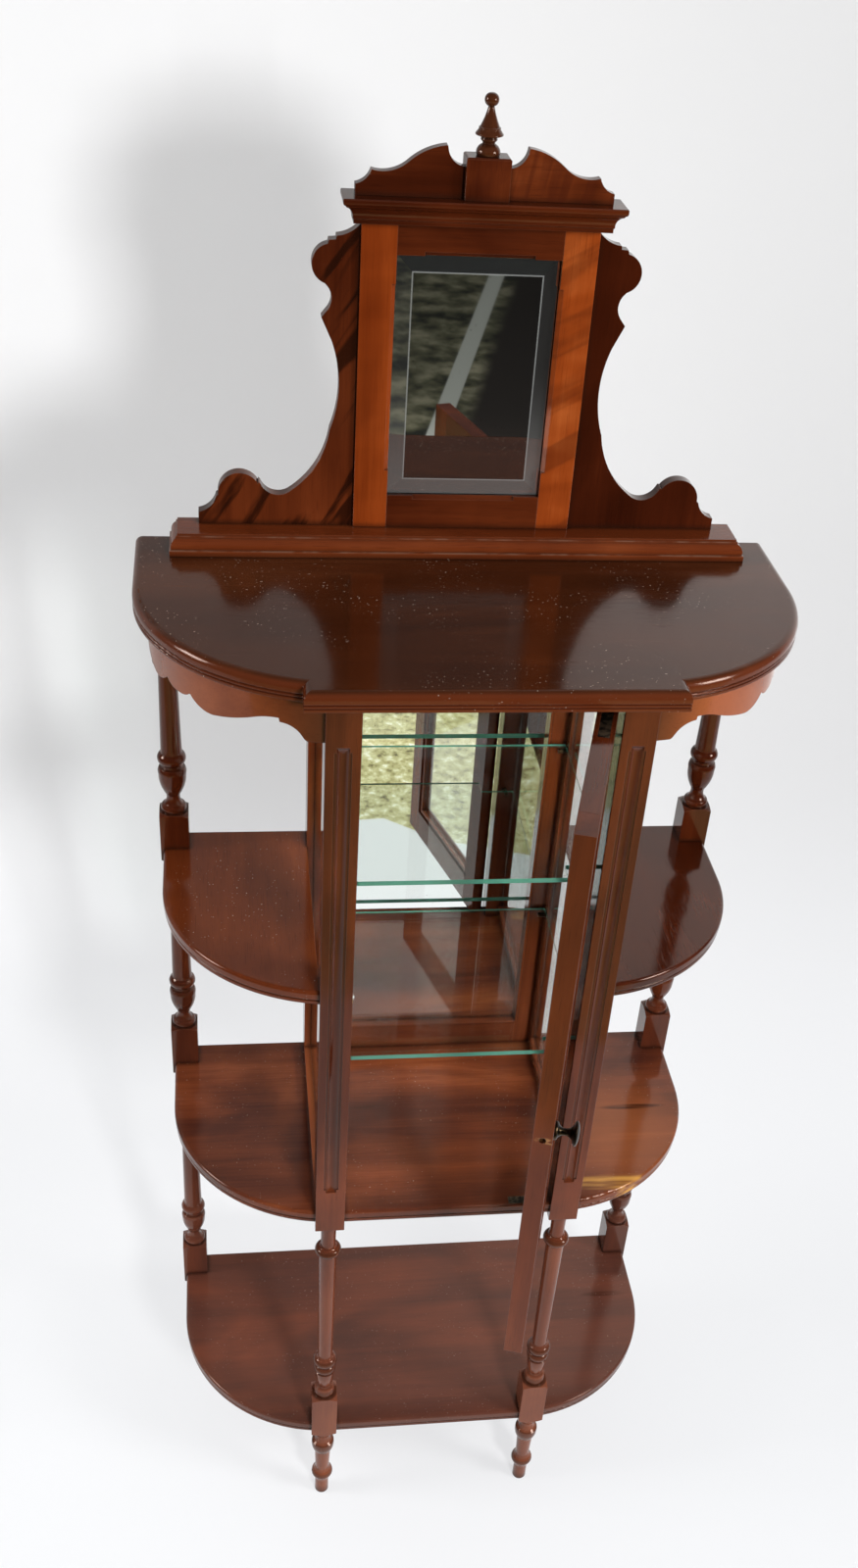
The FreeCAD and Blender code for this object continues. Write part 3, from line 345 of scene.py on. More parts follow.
def paper_material():
    """Matt white paper. From behind, a camera sees through it to the shelf's back."""
    recipe = Recipe("paper")
    place = recipe.place()
    height, along_x = recipe.axis(place, "Z"), recipe.axis(place, "X")
    seen, mirrored = recipe.ray("Camera"), recipe.ray("Glossy")
    looked_at = (seen + mirrored + recipe.ray("Transmission")).limited()
    share = looked_at * (1.0 - height.ramp(0.0, glow_top)) * floor_glow
    mirrored_wall = mirrored * height.ramp(*wall_rise)
    share = share + mirrored_wall * along_x.ramp(*pale_side) * pale_share
    # The paper's tone darkens to the right: painted shade against the right lamp's stronger light.
    tone = recipe.blend(along_x.ramp(*paper_side), *paper_tones)
    mirrored_tone = recipe.blend(along_x.ramp(*mirrored_side), *mirrored_tones)
    tone = recipe.blend(mirrored_wall, tone, mirrored_tone)
    matt = recipe.shader(Base_Color=tone, Roughness=0.9)
    glow = recipe.node("ShaderNodeEmission", {}, {"Color": glow_colour, "Strength": 1.0})
    behind = recipe.signal("ShaderNodeNewGeometry", {}, {}, "Backfacing") * seen
    front = recipe.mixed(share, matt, glow)
    return recipe.finished(recipe.mixed(behind, front, recipe.clear((1, 1, 1, 1))))


paper = lay_paper(paper_material())
print("paper:", len(paper.data.polygons), "faces")

# %% [markdown]
# Beyond the paper lies the studio's own floor: olive flecks under the lamps, then the dark, with
# one pale strip across it. The camera doesn't see that floor, but both mirrors do, and without it
# they would look like sheets of paper.

# %% The studio's floor and wall
studio_half_width = 5.0
studio_near = -0.6
studio_far = -7.0
studio_drop = 0.004
studio_wall_height = 2.6
lamps_reach = -2.35
dark_begins = -2.75
mottled_slope = 0.25
mottled_edge = (-0.30, -0.24)
strip_x = 0.87
strip_y = -4.87
strip_slope = 0.255
strip_edge = (0.028, 0.034)
fleck_stops = [(0.34, (0.08, 0.06, 0.03)), (0.43, (0.34, 0.31, 0.14)),
               (0.56, (0.52, 0.50, 0.27)), (0.68, (0.85, 0.85, 0.72))]
mottle_stops = [(0.38, (0.020, 0.020, 0.014)), (0.50, (0.12, 0.115, 0.065)),
                (0.66, (0.36, 0.33, 0.22))]


def studio_material():
    """Olive flecks near the lamps. Further off it is mottled on the left, and nearly black on
    the right of a slanting line."""
    recipe = Recipe("studio_floor")
    place = recipe.place()
    along_x, along_y = recipe.axis(place, "X"), recipe.axis(place, "Y")
    grit = recipe.noise(place, scale=46.0, detail=5.0, roughness=0.75)
    flecked = recipe.colours(grit, fleck_stops)
    mottle = recipe.noise(place, scale=7.0, detail=4.0, roughness=0.6)
    mottled = recipe.colours(mottle, mottle_stops)
    right = (along_x + along_y * mottled_slope).ramp(*mottled_edge)
    far = recipe.blend(right, mottled, (0.030, 0.022, 0.018, 1))
    off_strip = along_x + (along_y - strip_y) * strip_slope - strip_x
    strip = 1.0 - off_strip.unsigned().ramp(*strip_edge)
    far = recipe.blend(strip, far, (0.55, 0.56, 0.50, 1))
    # From lit flecks near the lamps to dark beyond: a painted pool of light.
    colour = recipe.blend(along_y.ramp(lamps_reach, dark_begins), flecked, far)
    return recipe.finished(recipe.shader(Base_Color=colour, Roughness=0.95))


def studio_sheet(name, near, level, top, material):
    """A sheet as wide as the studio, from its far end at one level to a near end at a top."""
    side = studio_half_width
    corners = [(-side, studio_far, level), (side, studio_far, level), (side, near, top),
               (-side, near, top)]
    sheet = staged(name, corners, [(0, 1, 2, 3)], material)
    sheet.visible_camera = False
    return sheet


# The far wall's dark paint is painted shade, standing for the unlit studio.
dark = Recipe("studio_wall")
dark_paint = dark.finished(dark.shader(Base_Color=(0.03, 0.03, 0.028, 1), Roughness=0.9))
studio_floor = studio_sheet("studio_floor", studio_near, -studio_drop, -studio_drop,
                            studio_material())
studio_wall = studio_sheet("studio_wall", studio_far, 0, studio_wall_height, dark_paint)
print("studio:", studio_floor.name, studio_wall.name)

# %% [markdown]
# Two lamps stand at the sides and one near the camera. The turnings tell where they are: each ring
# carries two small highlights, one from either side, and the shadows run to the left. The third
# lamp throws the gallery's soft shadow on the paper, up and to the left. It is hidden from the
# polish, which would show it as a square.

# %% Lamps
lamps_aim_at = Vector((0, 0, 0.8))


def soft_box(name, turn, distance, height, size, watts):
    """A square lamp, turned round the shelf by so many degrees to the right of the front."""
    data = bpy.data.lights.new(name, "AREA")
    data.shape = "SQUARE"
    data.size = size
    data.energy = watts
    lamp = bpy.data.objects.new(name, data)
    bpy.context.scene.collection.objects.link(lamp)
    side = math.radians(turn)
    lamp.location = (distance * math.sin(side), -distance * math.cos(side), height)
    lamp.rotation_euler = (lamps_aim_at - lamp.location).to_track_quat("-Z", "Y").to_euler()
    return lamp


soft_box("lamp_right", turn=62, distance=2.3, height=1.9, size=0.7, watts=42)
soft_box("lamp_left", turn=-90, distance=2.3, height=1.9, size=0.7, watts=32)
fill = soft_box("lamp_front", turn=15, distance=2.6, height=1.9, size=0.4, watts=70)
fill.visible_glossy = False

# %% [markdown]
# The world adds the light that white walls return. It is darker where the polish mirrors it, so
# that the wood keeps its depth, and brighter where a camera looks straight into it.

# %% World
def light_world(level, mirrored_level, seen_level):
    """The level that lights the shelf, the level that its polish mirrors and the one a camera
    sees. Sockets 2 and 3 of a Mix node are its numbers."""
    world = bpy.data.worlds.new("world")
    world.use_nodes = True
    tree = world.node_tree
    background = tree.nodes["Background"]
    background.inputs["Color"].default_value = (0.96, 0.98, 1.0, 1)
    path = tree.nodes.new("ShaderNodeLightPath")
    strength = None
    for ray, other in (("Is Glossy Ray", mirrored_level), ("Is Transmission Ray", seen_level),
                       ("Is Camera Ray", seen_level)):
        choice = tree.nodes.new("ShaderNodeMix")
        tree.links.new(path.outputs[ray], choice.inputs[0])
        choice.inputs[2].default_value = level
        choice.inputs[3].default_value = other
        if strength is not None:
            tree.links.new(strength, choice.inputs[2])
        strength = choice.outputs[0]
    tree.links.new(strength, background.inputs["Strength"])
    bpy.context.scene.world = world
    return world


print("world:", light_world(level=0.26, mirrored_level=0.12, seen_level=0.80).name)

# %% [markdown]
# Mahogany is a red-brown wood with long, quiet streaks, short dark pores and a slow change of tone
# from board to board. One recipe makes them all. It turns the pattern so that the grain runs along
# the piece, stretches noises along it, and reads the wood's tones off a ramp. Each piece names its
# grain, its depth of colour and its own stretch of the tree, so no two boards are twins.

# %% Tones and grain
door_leaf_turn = math.radians(-73.5)
grain_turns = {
    "across": (0.0, 0.0, 0.0),
    "upright": (0.0, math.pi / 2, 0.0),
    "deep": (0.0, 0.0, -math.pi / 2),
    "leaf": (0.0, 0.0, door_leaf_turn),
}
red_mahogany = [(0.0, (0.013, 0.0022, 0.0008)), (0.30, (0.040, 0.0068, 0.0020)),
                (0.62, (0.105, 0.0205, 0.0052)), (1.0, (0.235, 0.0600, 0.0180))]
dark_mahogany = [(0.0, (0.012, 0.0030, 0.0012)), (0.34, (0.026, 0.0066, 0.0022)),
                 (0.62, (0.046, 0.0120, 0.0040)), (1.0, (0.095, 0.0280, 0.0100))]
gold_mahogany = [(0.0, (0.085, 0.0120, 0.0018)), (0.34, (0.150, 0.0240, 0.0035)),
                 (0.62, (0.225, 0.0400, 0.0062)), (1.0, (0.370, 0.0900, 0.0190))]
streak_share = 0.65
fine_share = 0.22
slow_share = 1.30
# Each noise's waves per metre: along the grain, and twice across it.
streak_waves = (2.6, 30, 30)
fine_waves = (9, 330, 330)
slow_waves = (3.2, 8, 8)
curl_waves = (34, 9, 9)
pore_waves = (42, 1250, 1250)
ripple_waves = (5, 90, 90)


def wood_pattern(recipe, place, grain, offset, figure, contrast=1.0):
    """How light the wood is, from 0 to 1, and its pores."""
    shift = (offset, 0.37 * offset, 0.71 * offset)
    along = recipe.moved(place, rotation=grain_turns[grain], location=shift)
    streaks = recipe.noise(recipe.moved(along, scale=streak_waves), detail=4.0, distortion=0.8)
    fine = recipe.noise(recipe.moved(along, scale=fine_waves), detail=3.0, roughness=0.6)
    slow = recipe.noise(recipe.moved(along, scale=slow_waves), detail=3.0, distortion=1.2)
    curl = recipe.noise(recipe.moved(along, scale=curl_waves), detail=2.0, distortion=0.6)
    waves = streaks * streak_share + fine * fine_share + slow * slow_share + curl * figure
    middle = (streak_share + fine_share + slow_share + figure) / 2
    light = 0.5 + (waves - middle) * contrast
    pores = recipe.noise(recipe.moved(along, scale=pore_waves), detail=1.0).ramp(0.60, 0.72)
    return along, light, pores


print("grain directions:", sorted(grain_turns))

# %% [markdown]
# French polish is thin and takes the wood's own gloss, so the shader's plain reflection serves,
# without a coat. Towards the floor the wood turns paler: partly a bloom that dust and damp have
# left in the polish, partly a painted sheen. Arrises are paler as well, partly rubbed by hands and
# dusters, partly a painted highlight. The hollows, where a ring meets its shaft or a post a board,
# are darkened as painted shade, with old wax in them. A Bevel node finds the arrises and an
# Ambient Occlusion node the hollows.

# %% Polish, wear and wax
shellac_tint = (1.0, 0.74, 0.62, 1)
bloom_and_sheen_pale = (0.26, 0.15, 0.125, 1)
arris_worn_and_lit = (0.30, 0.12, 0.07, 1)
wax_and_shade_brown = (0.012, 0.0042, 0.0022, 1)
dust_grey = (0.45, 0.38, 0.32, 1)
near_floor_fades = (0.05, 0.78)
bloom_and_sheen_share = 0.14
pore_share = 0.3
arris_radius = 0.9 * millimetre
arris_worn_and_lit_share = 0.35
hollow_shade_reach = 6 * millimetre
hollow_shade_share = 0.80
smear_dulls = 0.07
pores_dull = 0.08
bloom_dulls = 0.25


def arris_normal_and_pale_mask(recipe):
    """A normal that rounds every sharp edge a little, and how near a place is to such an edge."""
    arris = recipe.signal("ShaderNodeBevel", {"samples": 3}, {"Radius": arris_radius})
    flat = recipe.signal("ShaderNodeNewGeometry", {}, {}, "Normal")
    agree = recipe.vector_maths("DOT_PRODUCT", arris, flat, result="Value")
    return arris, (1.0 - agree).ramp(0.01, 0.25)


def waxed_and_shaded_hollows(recipe, colour):
    # Hollows and contacts, found by ambient occlusion, darkened as painted shade with old wax.
    reach = {"Distance": hollow_shade_reach}
    shut_in = 1.0 - recipe.signal("ShaderNodeAmbientOcclusion", {"samples": 4}, reach, "AO")
    return recipe.stained(colour, wax_and_shade_brown, where=shut_in.ramp(0.08, 0.42), strength=hollow_shade_share)


def dusted(recipe, place, share, colour):
    specks = recipe.noise(place, scale=620.0, detail=0.0).ramp(0.80, 0.84)
    sparse = recipe.noise(place, scale=14.0, detail=1.0).ramp(0.40, 0.60)
    return recipe.stained(colour, dust_grey, where=specks * sparse, strength=share)


def fine_ripple(recipe, along):
    """The grain that stands through old polish."""
    return recipe.noise(recipe.moved(along, scale=ripple_waves), detail=2.0) * 0.4


print("wear ready, arris radius", arris_radius)

# %% [markdown]
# The recipe has one argument for each thing that differs from board to board. `lift` makes a piece
# lighter or darker, `foot` does so towards the floor as painted light that the floor returns,
# `gloss` and `satin` set its polish, and `marks` is a function for what only this piece has.

# %% The mahogany recipe
def mahogany(name, grain, tones=red_mahogany, offset=0.0, figure=0.10, contrast=0.7, lift=0.0,
             foot=0.16, gloss=0.40, satin=0.07, dust=0.0, marks=None):
    recipe = Recipe(name)
    place = recipe.place()
    along, light, pores = wood_pattern(recipe, place, grain, offset, figure, contrast)
    low = 1.0 - recipe.axis(place, "Z").ramp(*near_floor_fades)
    # Lifted paler towards the floor by foot: painted light that the floor returns.
    colour = recipe.colours((light + low * foot + lift).limited(), tones)
    colour = recipe.stained(colour, (*tones[0][1], 1), where=pores, strength=pore_share)
    # A pale haze towards the floor: partly a bloom in the polish, partly a painted sheen.
    bloom_and_sheen = low * bloom_and_sheen_share
    colour = recipe.blend(bloom_and_sheen, colour, bloom_and_sheen_pale)
    arris, worn_and_lit_arris = arris_normal_and_pale_mask(recipe)
    # Paler arrises: partly wear, partly a painted highlight.
    colour = recipe.stained(colour, arris_worn_and_lit, where=worn_and_lit_arris, strength=arris_worn_and_lit_share)
    # Hollows and contacts darkened as painted shade, with old wax.
    colour = waxed_and_shaded_hollows(recipe, colour)
    if marks:
        colour = marks(recipe, place, along, colour)
    if dust:
        colour = dusted(recipe, place, dust, colour)
    smear = recipe.noise(place, scale=9.0, detail=3.0, roughness=0.6)
    roughness = satin + smear * smear_dulls + pores * pores_dull + bloom_and_sheen * bloom_dulls
    ripple = pores * -0.5 + fine_ripple(recipe, along)
    normal = recipe.bump(ripple, strength=0.08, distance=0.0004, Normal=arris)
    return recipe.finished(recipe.shader(Base_Color=colour, Roughness=roughness, Normal=normal,
                                         IOR=1.5, Specular_IOR_Level=gloss,
                                         Specular_Tint=shellac_tint))


print("mahogany ready, tones:", len(red_mahogany), len(dark_mahogany), len(gold_mahogany))

# %% [markdown]
# Some boards have marks of their own. The cabinet floor board has a pale streak of sapwood along
# its front edge, right of the door, and a dark vein further back. The top board's moulded edge is
# redder than its face. Each mark is a soft-edged patch, placed in millimetres from the middle of
# the boards' back edge.

# %% Marks on the boards
dark_vein = (0.02, 0.005, 0.002, 1)
paler_wood = (0.27, 0.078, 0.024, 1)
sapwood_gold = (0.46, 0.22, 0.045, 1)
nose_red = (0.128, 0.024, 0.007, 1)
nose_fades = (-0.003, -0.0004)
apron_end_shadow = (0.040, 0.010, 0.004, 1)
apron_end_fades = (0.142, 0.200)


def patch(recipe, place, at, reach, soft=0.5):
    centre = datum + Vector(at) * millimetre
    return recipe.near(place, centre, Vector(reach) * millimetre, soft)


def broken_along(recipe, along, low, high):
    """Gaps that break a mark up along the grain."""
    return recipe.noise(recipe.moved(along, scale=(7, 60, 60)), detail=3.0).ramp(low, high)


def floor_board_marks(recipe, place, along, colour):
    broken = broken_along(recipe, along, 0.38, 0.56)
    paler = patch(recipe, place, at=(215, -175, 521), reach=(120, 130, 40), soft=0.8)
    colour = recipe.stained(colour, paler_wood, where=paler, strength=0.45)
    sapwood = patch(recipe, place, at=(190, -246, 521), reach=(74, 13, 40)) * broken
    colour = recipe.stained(colour, sapwood_gold, where=sapwood, strength=0.9)
    vein = patch(recipe, place, at=(232, -130, 521), reach=(46, 5, 40)) * broken
    return recipe.stained(colour, dark_vein, where=vein, strength=0.8)


def bottom_board_marks(recipe, place, along, colour):
    broken = broken_along(recipe, along, 0.36, 0.56)
    vein = patch(recipe, place, at=(252, -100, 148), reach=(38, 5, 40)) * broken
    return recipe.stained(colour, dark_vein, where=vein, strength=0.5)


def nose_tone(recipe, place, along, colour):
    """The moulded edge of the top board is redder than its face."""
    below = 1.0 - (recipe.axis(place, "Z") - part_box("top_board")[1][2]).ramp(*nose_fades)
    return recipe.stained(colour, nose_red, where=below, strength=0.40)


def apron_shade(recipe, place, along, colour):
    """Painted shadow: the apron's inner end, near the post, is darker."""
    inner_end = 1.0 - recipe.axis(place, "X").unsigned().ramp(*apron_end_fades)
    return recipe.stained(colour, apron_end_shadow, where=inner_end, strength=0.75)


print("board marks ready, counted from", datum)

# %% [markdown]
# The upright pieces have marks too. The door's closing edge is rubbed bare where the catch bears on
# it. The shallow step beside each front post's flute is darkened as painted shade, the flute below
# it less. The rings of the turned leg are darker than its shaft, as a painted dark reflection with
# dirt, and its tip is darkened as painted shade where it meets the floor. Pairs of numbers are the
# ends of a soft edge, in metres.

# %% Marks on the posts and the door
rubbed_bare = (0.32, 0.16, 0.06, 1)
flute_shade_brown = (0.012, 0.0035, 0.0015, 1)
ring_shade_and_dirt = (0.030, 0.010, 0.005, 1)
catch_height = 815 * millimetre
rub_reach = Vector((16, 16, 5)) * millimetre
post_middle_x = 0.1268
step_top = (0.0003, 0.0007)
step_bottom = (0.0011, 0.0016)
step_side = (0.0076, 0.0080)
flute_foot = (0.53, 0.54)
ring_radii = (11 * millimetre, 12.5 * millimetre)
leg_top = (0.484, 0.488)
block_top = (0.199, 0.202)
block_bottom = (0.128, 0.131)
foot_tip = (0.004, 0.016)


def lock_stile_marks(recipe, place, along, colour):
    low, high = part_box("door_stile_lock")
    centre = Vector(((low[0] + high[0]) / 2, low[1], catch_height))
    rub = recipe.near(place, centre, rub_reach, soft=0.7)
    scattered = recipe.moved(place, scale=(300, 300, 300))
    broken = recipe.noise(scattered, detail=2.0).ramp(0.42, 0.6)
    return recipe.stained(colour, rubbed_bare, where=rub * broken, strength=0.6)


def flute_shade(recipe, place, along, colour):
    """Painted shade from the step's top to its bottom; the flute below it gets less."""
    depth = recipe.axis(place, "Y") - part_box("front_post_right")[0][1]
    step = depth.ramp(*step_top) - depth.ramp(*step_bottom) * 0.7
    off_centre = (recipe.axis(place, "X").unsigned() - post_middle_x).unsigned()
    above_foot = recipe.axis(place, "Z").ramp(*flute_foot)
    in_flute = (1.0 - off_centre.ramp(*step_side)) * above_foot
    return recipe.stained(colour, flute_shade_brown, where=step * in_flute, strength=0.34)


def leg_marks(recipe, place, along, colour):
    """Besides the flute's shade: dark rings above and below the square block, and a dark tip."""
    low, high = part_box("front_post_right")
    off_x = recipe.axis(place, "X").unsigned() - (low[0] + high[0]) / 2
    off_y = recipe.axis(place, "Y") - (low[1] + high[1]) / 2
    thin, thick = ring_radii
    ring = (off_x * off_x + off_y * off_y).ramp(thin ** 2, thick ** 2)
    height = recipe.axis(place, "Z")
    under_top = 1.0 - height.ramp(*leg_top)
    turned = under_top - height.ramp(*block_bottom) + height.ramp(*block_top)
    tip = 1.0 - height.ramp(*foot_tip)
    dark_places = (turned * ring).at_least(tip).limited()
    # Rings: painted dark reflection with dirt. Tip: painted shade where it meets the floor.
    colour = recipe.stained(colour, ring_shade_and_dirt, where=dark_places, strength=0.55)
    return flute_shade(recipe, place, along, colour)


print("post marks ready, catch at", catch_height)

# %% [markdown]
# The gallery was made from the liveliest wood. Curl crosses its right stile, the right board of its
# pediment and the block between in soft dark bars, slanting flames run up its left wing, and dust
# lies in the quirks of its base, where a cloth doesn't reach.

# %% Marks on the gallery
curl_brown = (0.045, 0.008, 0.003, 1)
flame_brown = (0.010, 0.0025, 0.0012, 1)
flame_slant = math.radians(-32)
joint_black = (0.008, 0.003, 0.002, 1)
joint_line = (0.0004, 0.0016)
quirk_dust = (0.34, 0.27, 0.20, 1)
quirk_line = (0.0002, 0.0008)
quirk_heights = (0.27, 0.88)


def curled(turn, width, share):
    """Marks for wood with a curl: soft dark bars, turned so many degrees from upright."""
    def bars(recipe, place, along, colour):
        turned = recipe.moved(place, rotation=(0.0, math.radians(turn), 0.0))
        stretched = recipe.moved(turned, scale=(1 / width, 14, 7))
        bar = recipe.noise(stretched, detail=3.0, distortion=0.5)
        return recipe.stained(colour, curl_brown, where=bar.ramp(0.46, 0.62), strength=share)
    return bars


def frame_joint(recipe, place, along, colour):
    """A dark line where a wing meets the gallery's frame."""
    frame_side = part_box("gallery_stile_right")[1][0]
    off_line = (recipe.axis(place, "X").unsigned() - frame_side).unsigned()
    line = 1.0 - off_line.ramp(*joint_line)
    return recipe.stained(colour, joint_black, where=line, strength=0.85)


def flame_marks(recipe, place, along, colour):
    """Slanting flames, and the line of the joint."""
    turned = recipe.moved(place, rotation=(0.0, flame_slant, 0.0))
    stretched = recipe.moved(turned, scale=(46, 20, 6))
    flames = recipe.noise(stretched, detail=4.0, distortion=0.7).ramp(0.50, 0.60)
    colour = recipe.stained(colour, flame_brown, where=flames, strength=0.85)
    return frame_joint(recipe, place, along, colour)


def base_dust(recipe, place, along, colour):
    """Dust in two quirks, whose heights are shares of the base's own."""
    height = recipe.axis(place, "Z")
    low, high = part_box("gallery_base")[0][2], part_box("gallery_base")[1][2]
    broken = recipe.noise(recipe.moved(place, scale=(60, 60, 60)), detail=3.0).ramp(0.40, 0.62)
    for share in quirk_heights:
        level = low + share * (high - low)
        line = 1.0 - (height - level).unsigned().ramp(*quirk_line)
        colour = recipe.stained(colour, quirk_dust, where=line * broken, strength=0.13)
    return colour


print("gallery marks ready, quirks:", len(quirk_heights))

# %% [markdown]
# Glass is nearly colourless through its face and sea green at its edge, where the eye looks along
# the sheet. On a level shelf the edge is where the surface faces sideways. There the clear glass
# gives way to a green satin one. Light for the shadows passes straight through, so the panes
# don't darken the cabinet.

# %% Glass
glass_tint = (0.955, 0.99, 0.975, 1)
sea_green = (0.045, 0.155, 0.112, 1)
shadow_tint = (0.93, 0.97, 0.95, 1)
glass_ior = 1.5


def glass(name, face_axis):
    """Glass whose faces look along one axis of the piece."""
    recipe = Recipe(name)
    facing = recipe.axis(recipe.own_normal(), face_axis).unsigned()
    edge = 1.0 - facing.ramp(0.4, 0.8)
    pane = recipe.shader(Base_Color=glass_tint, Roughness=0.0, IOR=glass_ior,
                         Transmission_Weight=1.0)
    ground = recipe.shader(Base_Color=sea_green, Roughness=0.2, IOR=glass_ior)
    sheet = recipe.mixed(edge, pane, ground)
    return recipe.finished(recipe.mixed(recipe.ray("Shadow"), sheet, recipe.clear(shadow_tint)))


print("glass ready, refraction", glass_ior)

# %% [markdown]
# Old silvering is almost perfect, with faint clouds and a few specks. The gallery's mirror has a
# ground bevel, on which a pale grey light is painted, most of it at the bottom, and its inner edge
# is painted as a bright line. The solid's own slope says where the bevel is, and only the line
# needs a measure.

# %% Silvering
silver = (0.91, 0.93, 0.91, 1)
speck_brown = (0.16, 0.15, 0.12, 1)
bevel_grey = (0.42, 0.50, 0.55, 1)
bevel_inset = 20.5 * millimetre
bevel_tilt = (-0.9985, -0.9955)
bevel_line = (0.0003, 0.0009)
bevel_light_top = 0.13


def bevel_light(recipe, place, mirror):
    """How strongly the painted pale light shows on a mirror's ground bevel at each place."""
    low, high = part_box(mirror)
    bevel = recipe.axis(recipe.own_normal(), "Y").ramp(*bevel_tilt)
    height = recipe.axis(place, "Z")
    from_middle = (height - (low[2] + high[2]) / 2).unsigned()
    past_side = recipe.axis(place, "X").unsigned() - ((high[0] - low[0]) / 2 - bevel_inset)
    past_end = from_middle - ((high[2] - low[2]) / 2 - bevel_inset)
    line = 1.0 - past_side.at_least(past_end).unsigned().ramp(*bevel_line)
    rising = (height - low[2]).ramp(0.0, bevel_light_top)
    return (bevel * (0.075 - rising * 0.065)).at_least(line * 0.17)


def silvered(name, bevelled=None):
    recipe = Recipe(name)
    place = recipe.place()
    clouds = recipe.noise(place, scale=14.0, detail=4.0)
    specks = recipe.noise(place, scale=420.0, detail=1.0).ramp(0.74, 0.80)
    colour = recipe.stained(silver, speck_brown, where=specks, strength=0.6)
    metallic, roughness = 1.0, clouds * 0.03
    if bevelled:
        pale = bevel_light(recipe, place, bevelled)
        colour = recipe.blend(pale, colour, bevel_grey)
        metallic, roughness = 1.0 - pale, roughness + pale * 0.2
    return recipe.finished(recipe.shader(Base_Color=colour, Metallic=metallic, Roughness=roughness))


print("silvering ready, bevel inset", bevel_inset)

# %% [markdown]
# The metal is old brass, tarnished in clouds: dark brown on the knob and the pegs, brighter on the
# catch's barrel, and nearly black on the pivot plates, which have never been polished since they
# were let in. The catch's spring and ball are steel. The unpolished backs that face the wall are
# stained, dry and open-grained.

# %% Metal and plain backs
back_stops = [(0.0, (0.030, 0.012, 0.006)), (0.5, (0.085, 0.036, 0.017)),
              (1.0, (0.17, 0.085, 0.045))]


def old_metal(name, bright, dark, roughness, tarnish):
    recipe = Recipe(name)
    place = recipe.place()
    patina = recipe.noise(place, scale=160.0, detail=5.0, roughness=0.65)
    fine = recipe.noise(place, scale=900.0, detail=2.0)
    colour = recipe.blend(patina.ramp(0.5 - tarnish, 0.62), (*dark, 1), (*bright, 1))
    normal = recipe.bump(fine, strength=0.12, distance=0.0002)
    return recipe.finished(recipe.shader(Base_Color=colour, Metallic=1.0,
                                         Roughness=roughness + fine * 0.15, Normal=normal))


def plain_back(name):
    recipe = Recipe(name)
    _, light, pores = wood_pattern(recipe, recipe.place(), "upright", offset=3.1, figure=0.1)
    colour = recipe.colours(light.limited(), back_stops)
    normal = recipe.bump(light, strength=0.3, distance=0.0006)
    return recipe.finished(recipe.shader(Base_Color=colour, Roughness=0.72 + pores * 0.1,
                                         Normal=normal))


print("metal and backs ready")

# %% [markdown]
# Now each piece gets its finish. A table names the wood of each piece: where its grain runs, how
# deep its colour is and how strongly it is figured. The gallery's stiles are the palest and the
# liveliest wood on the piece; the top board has gone darkest.

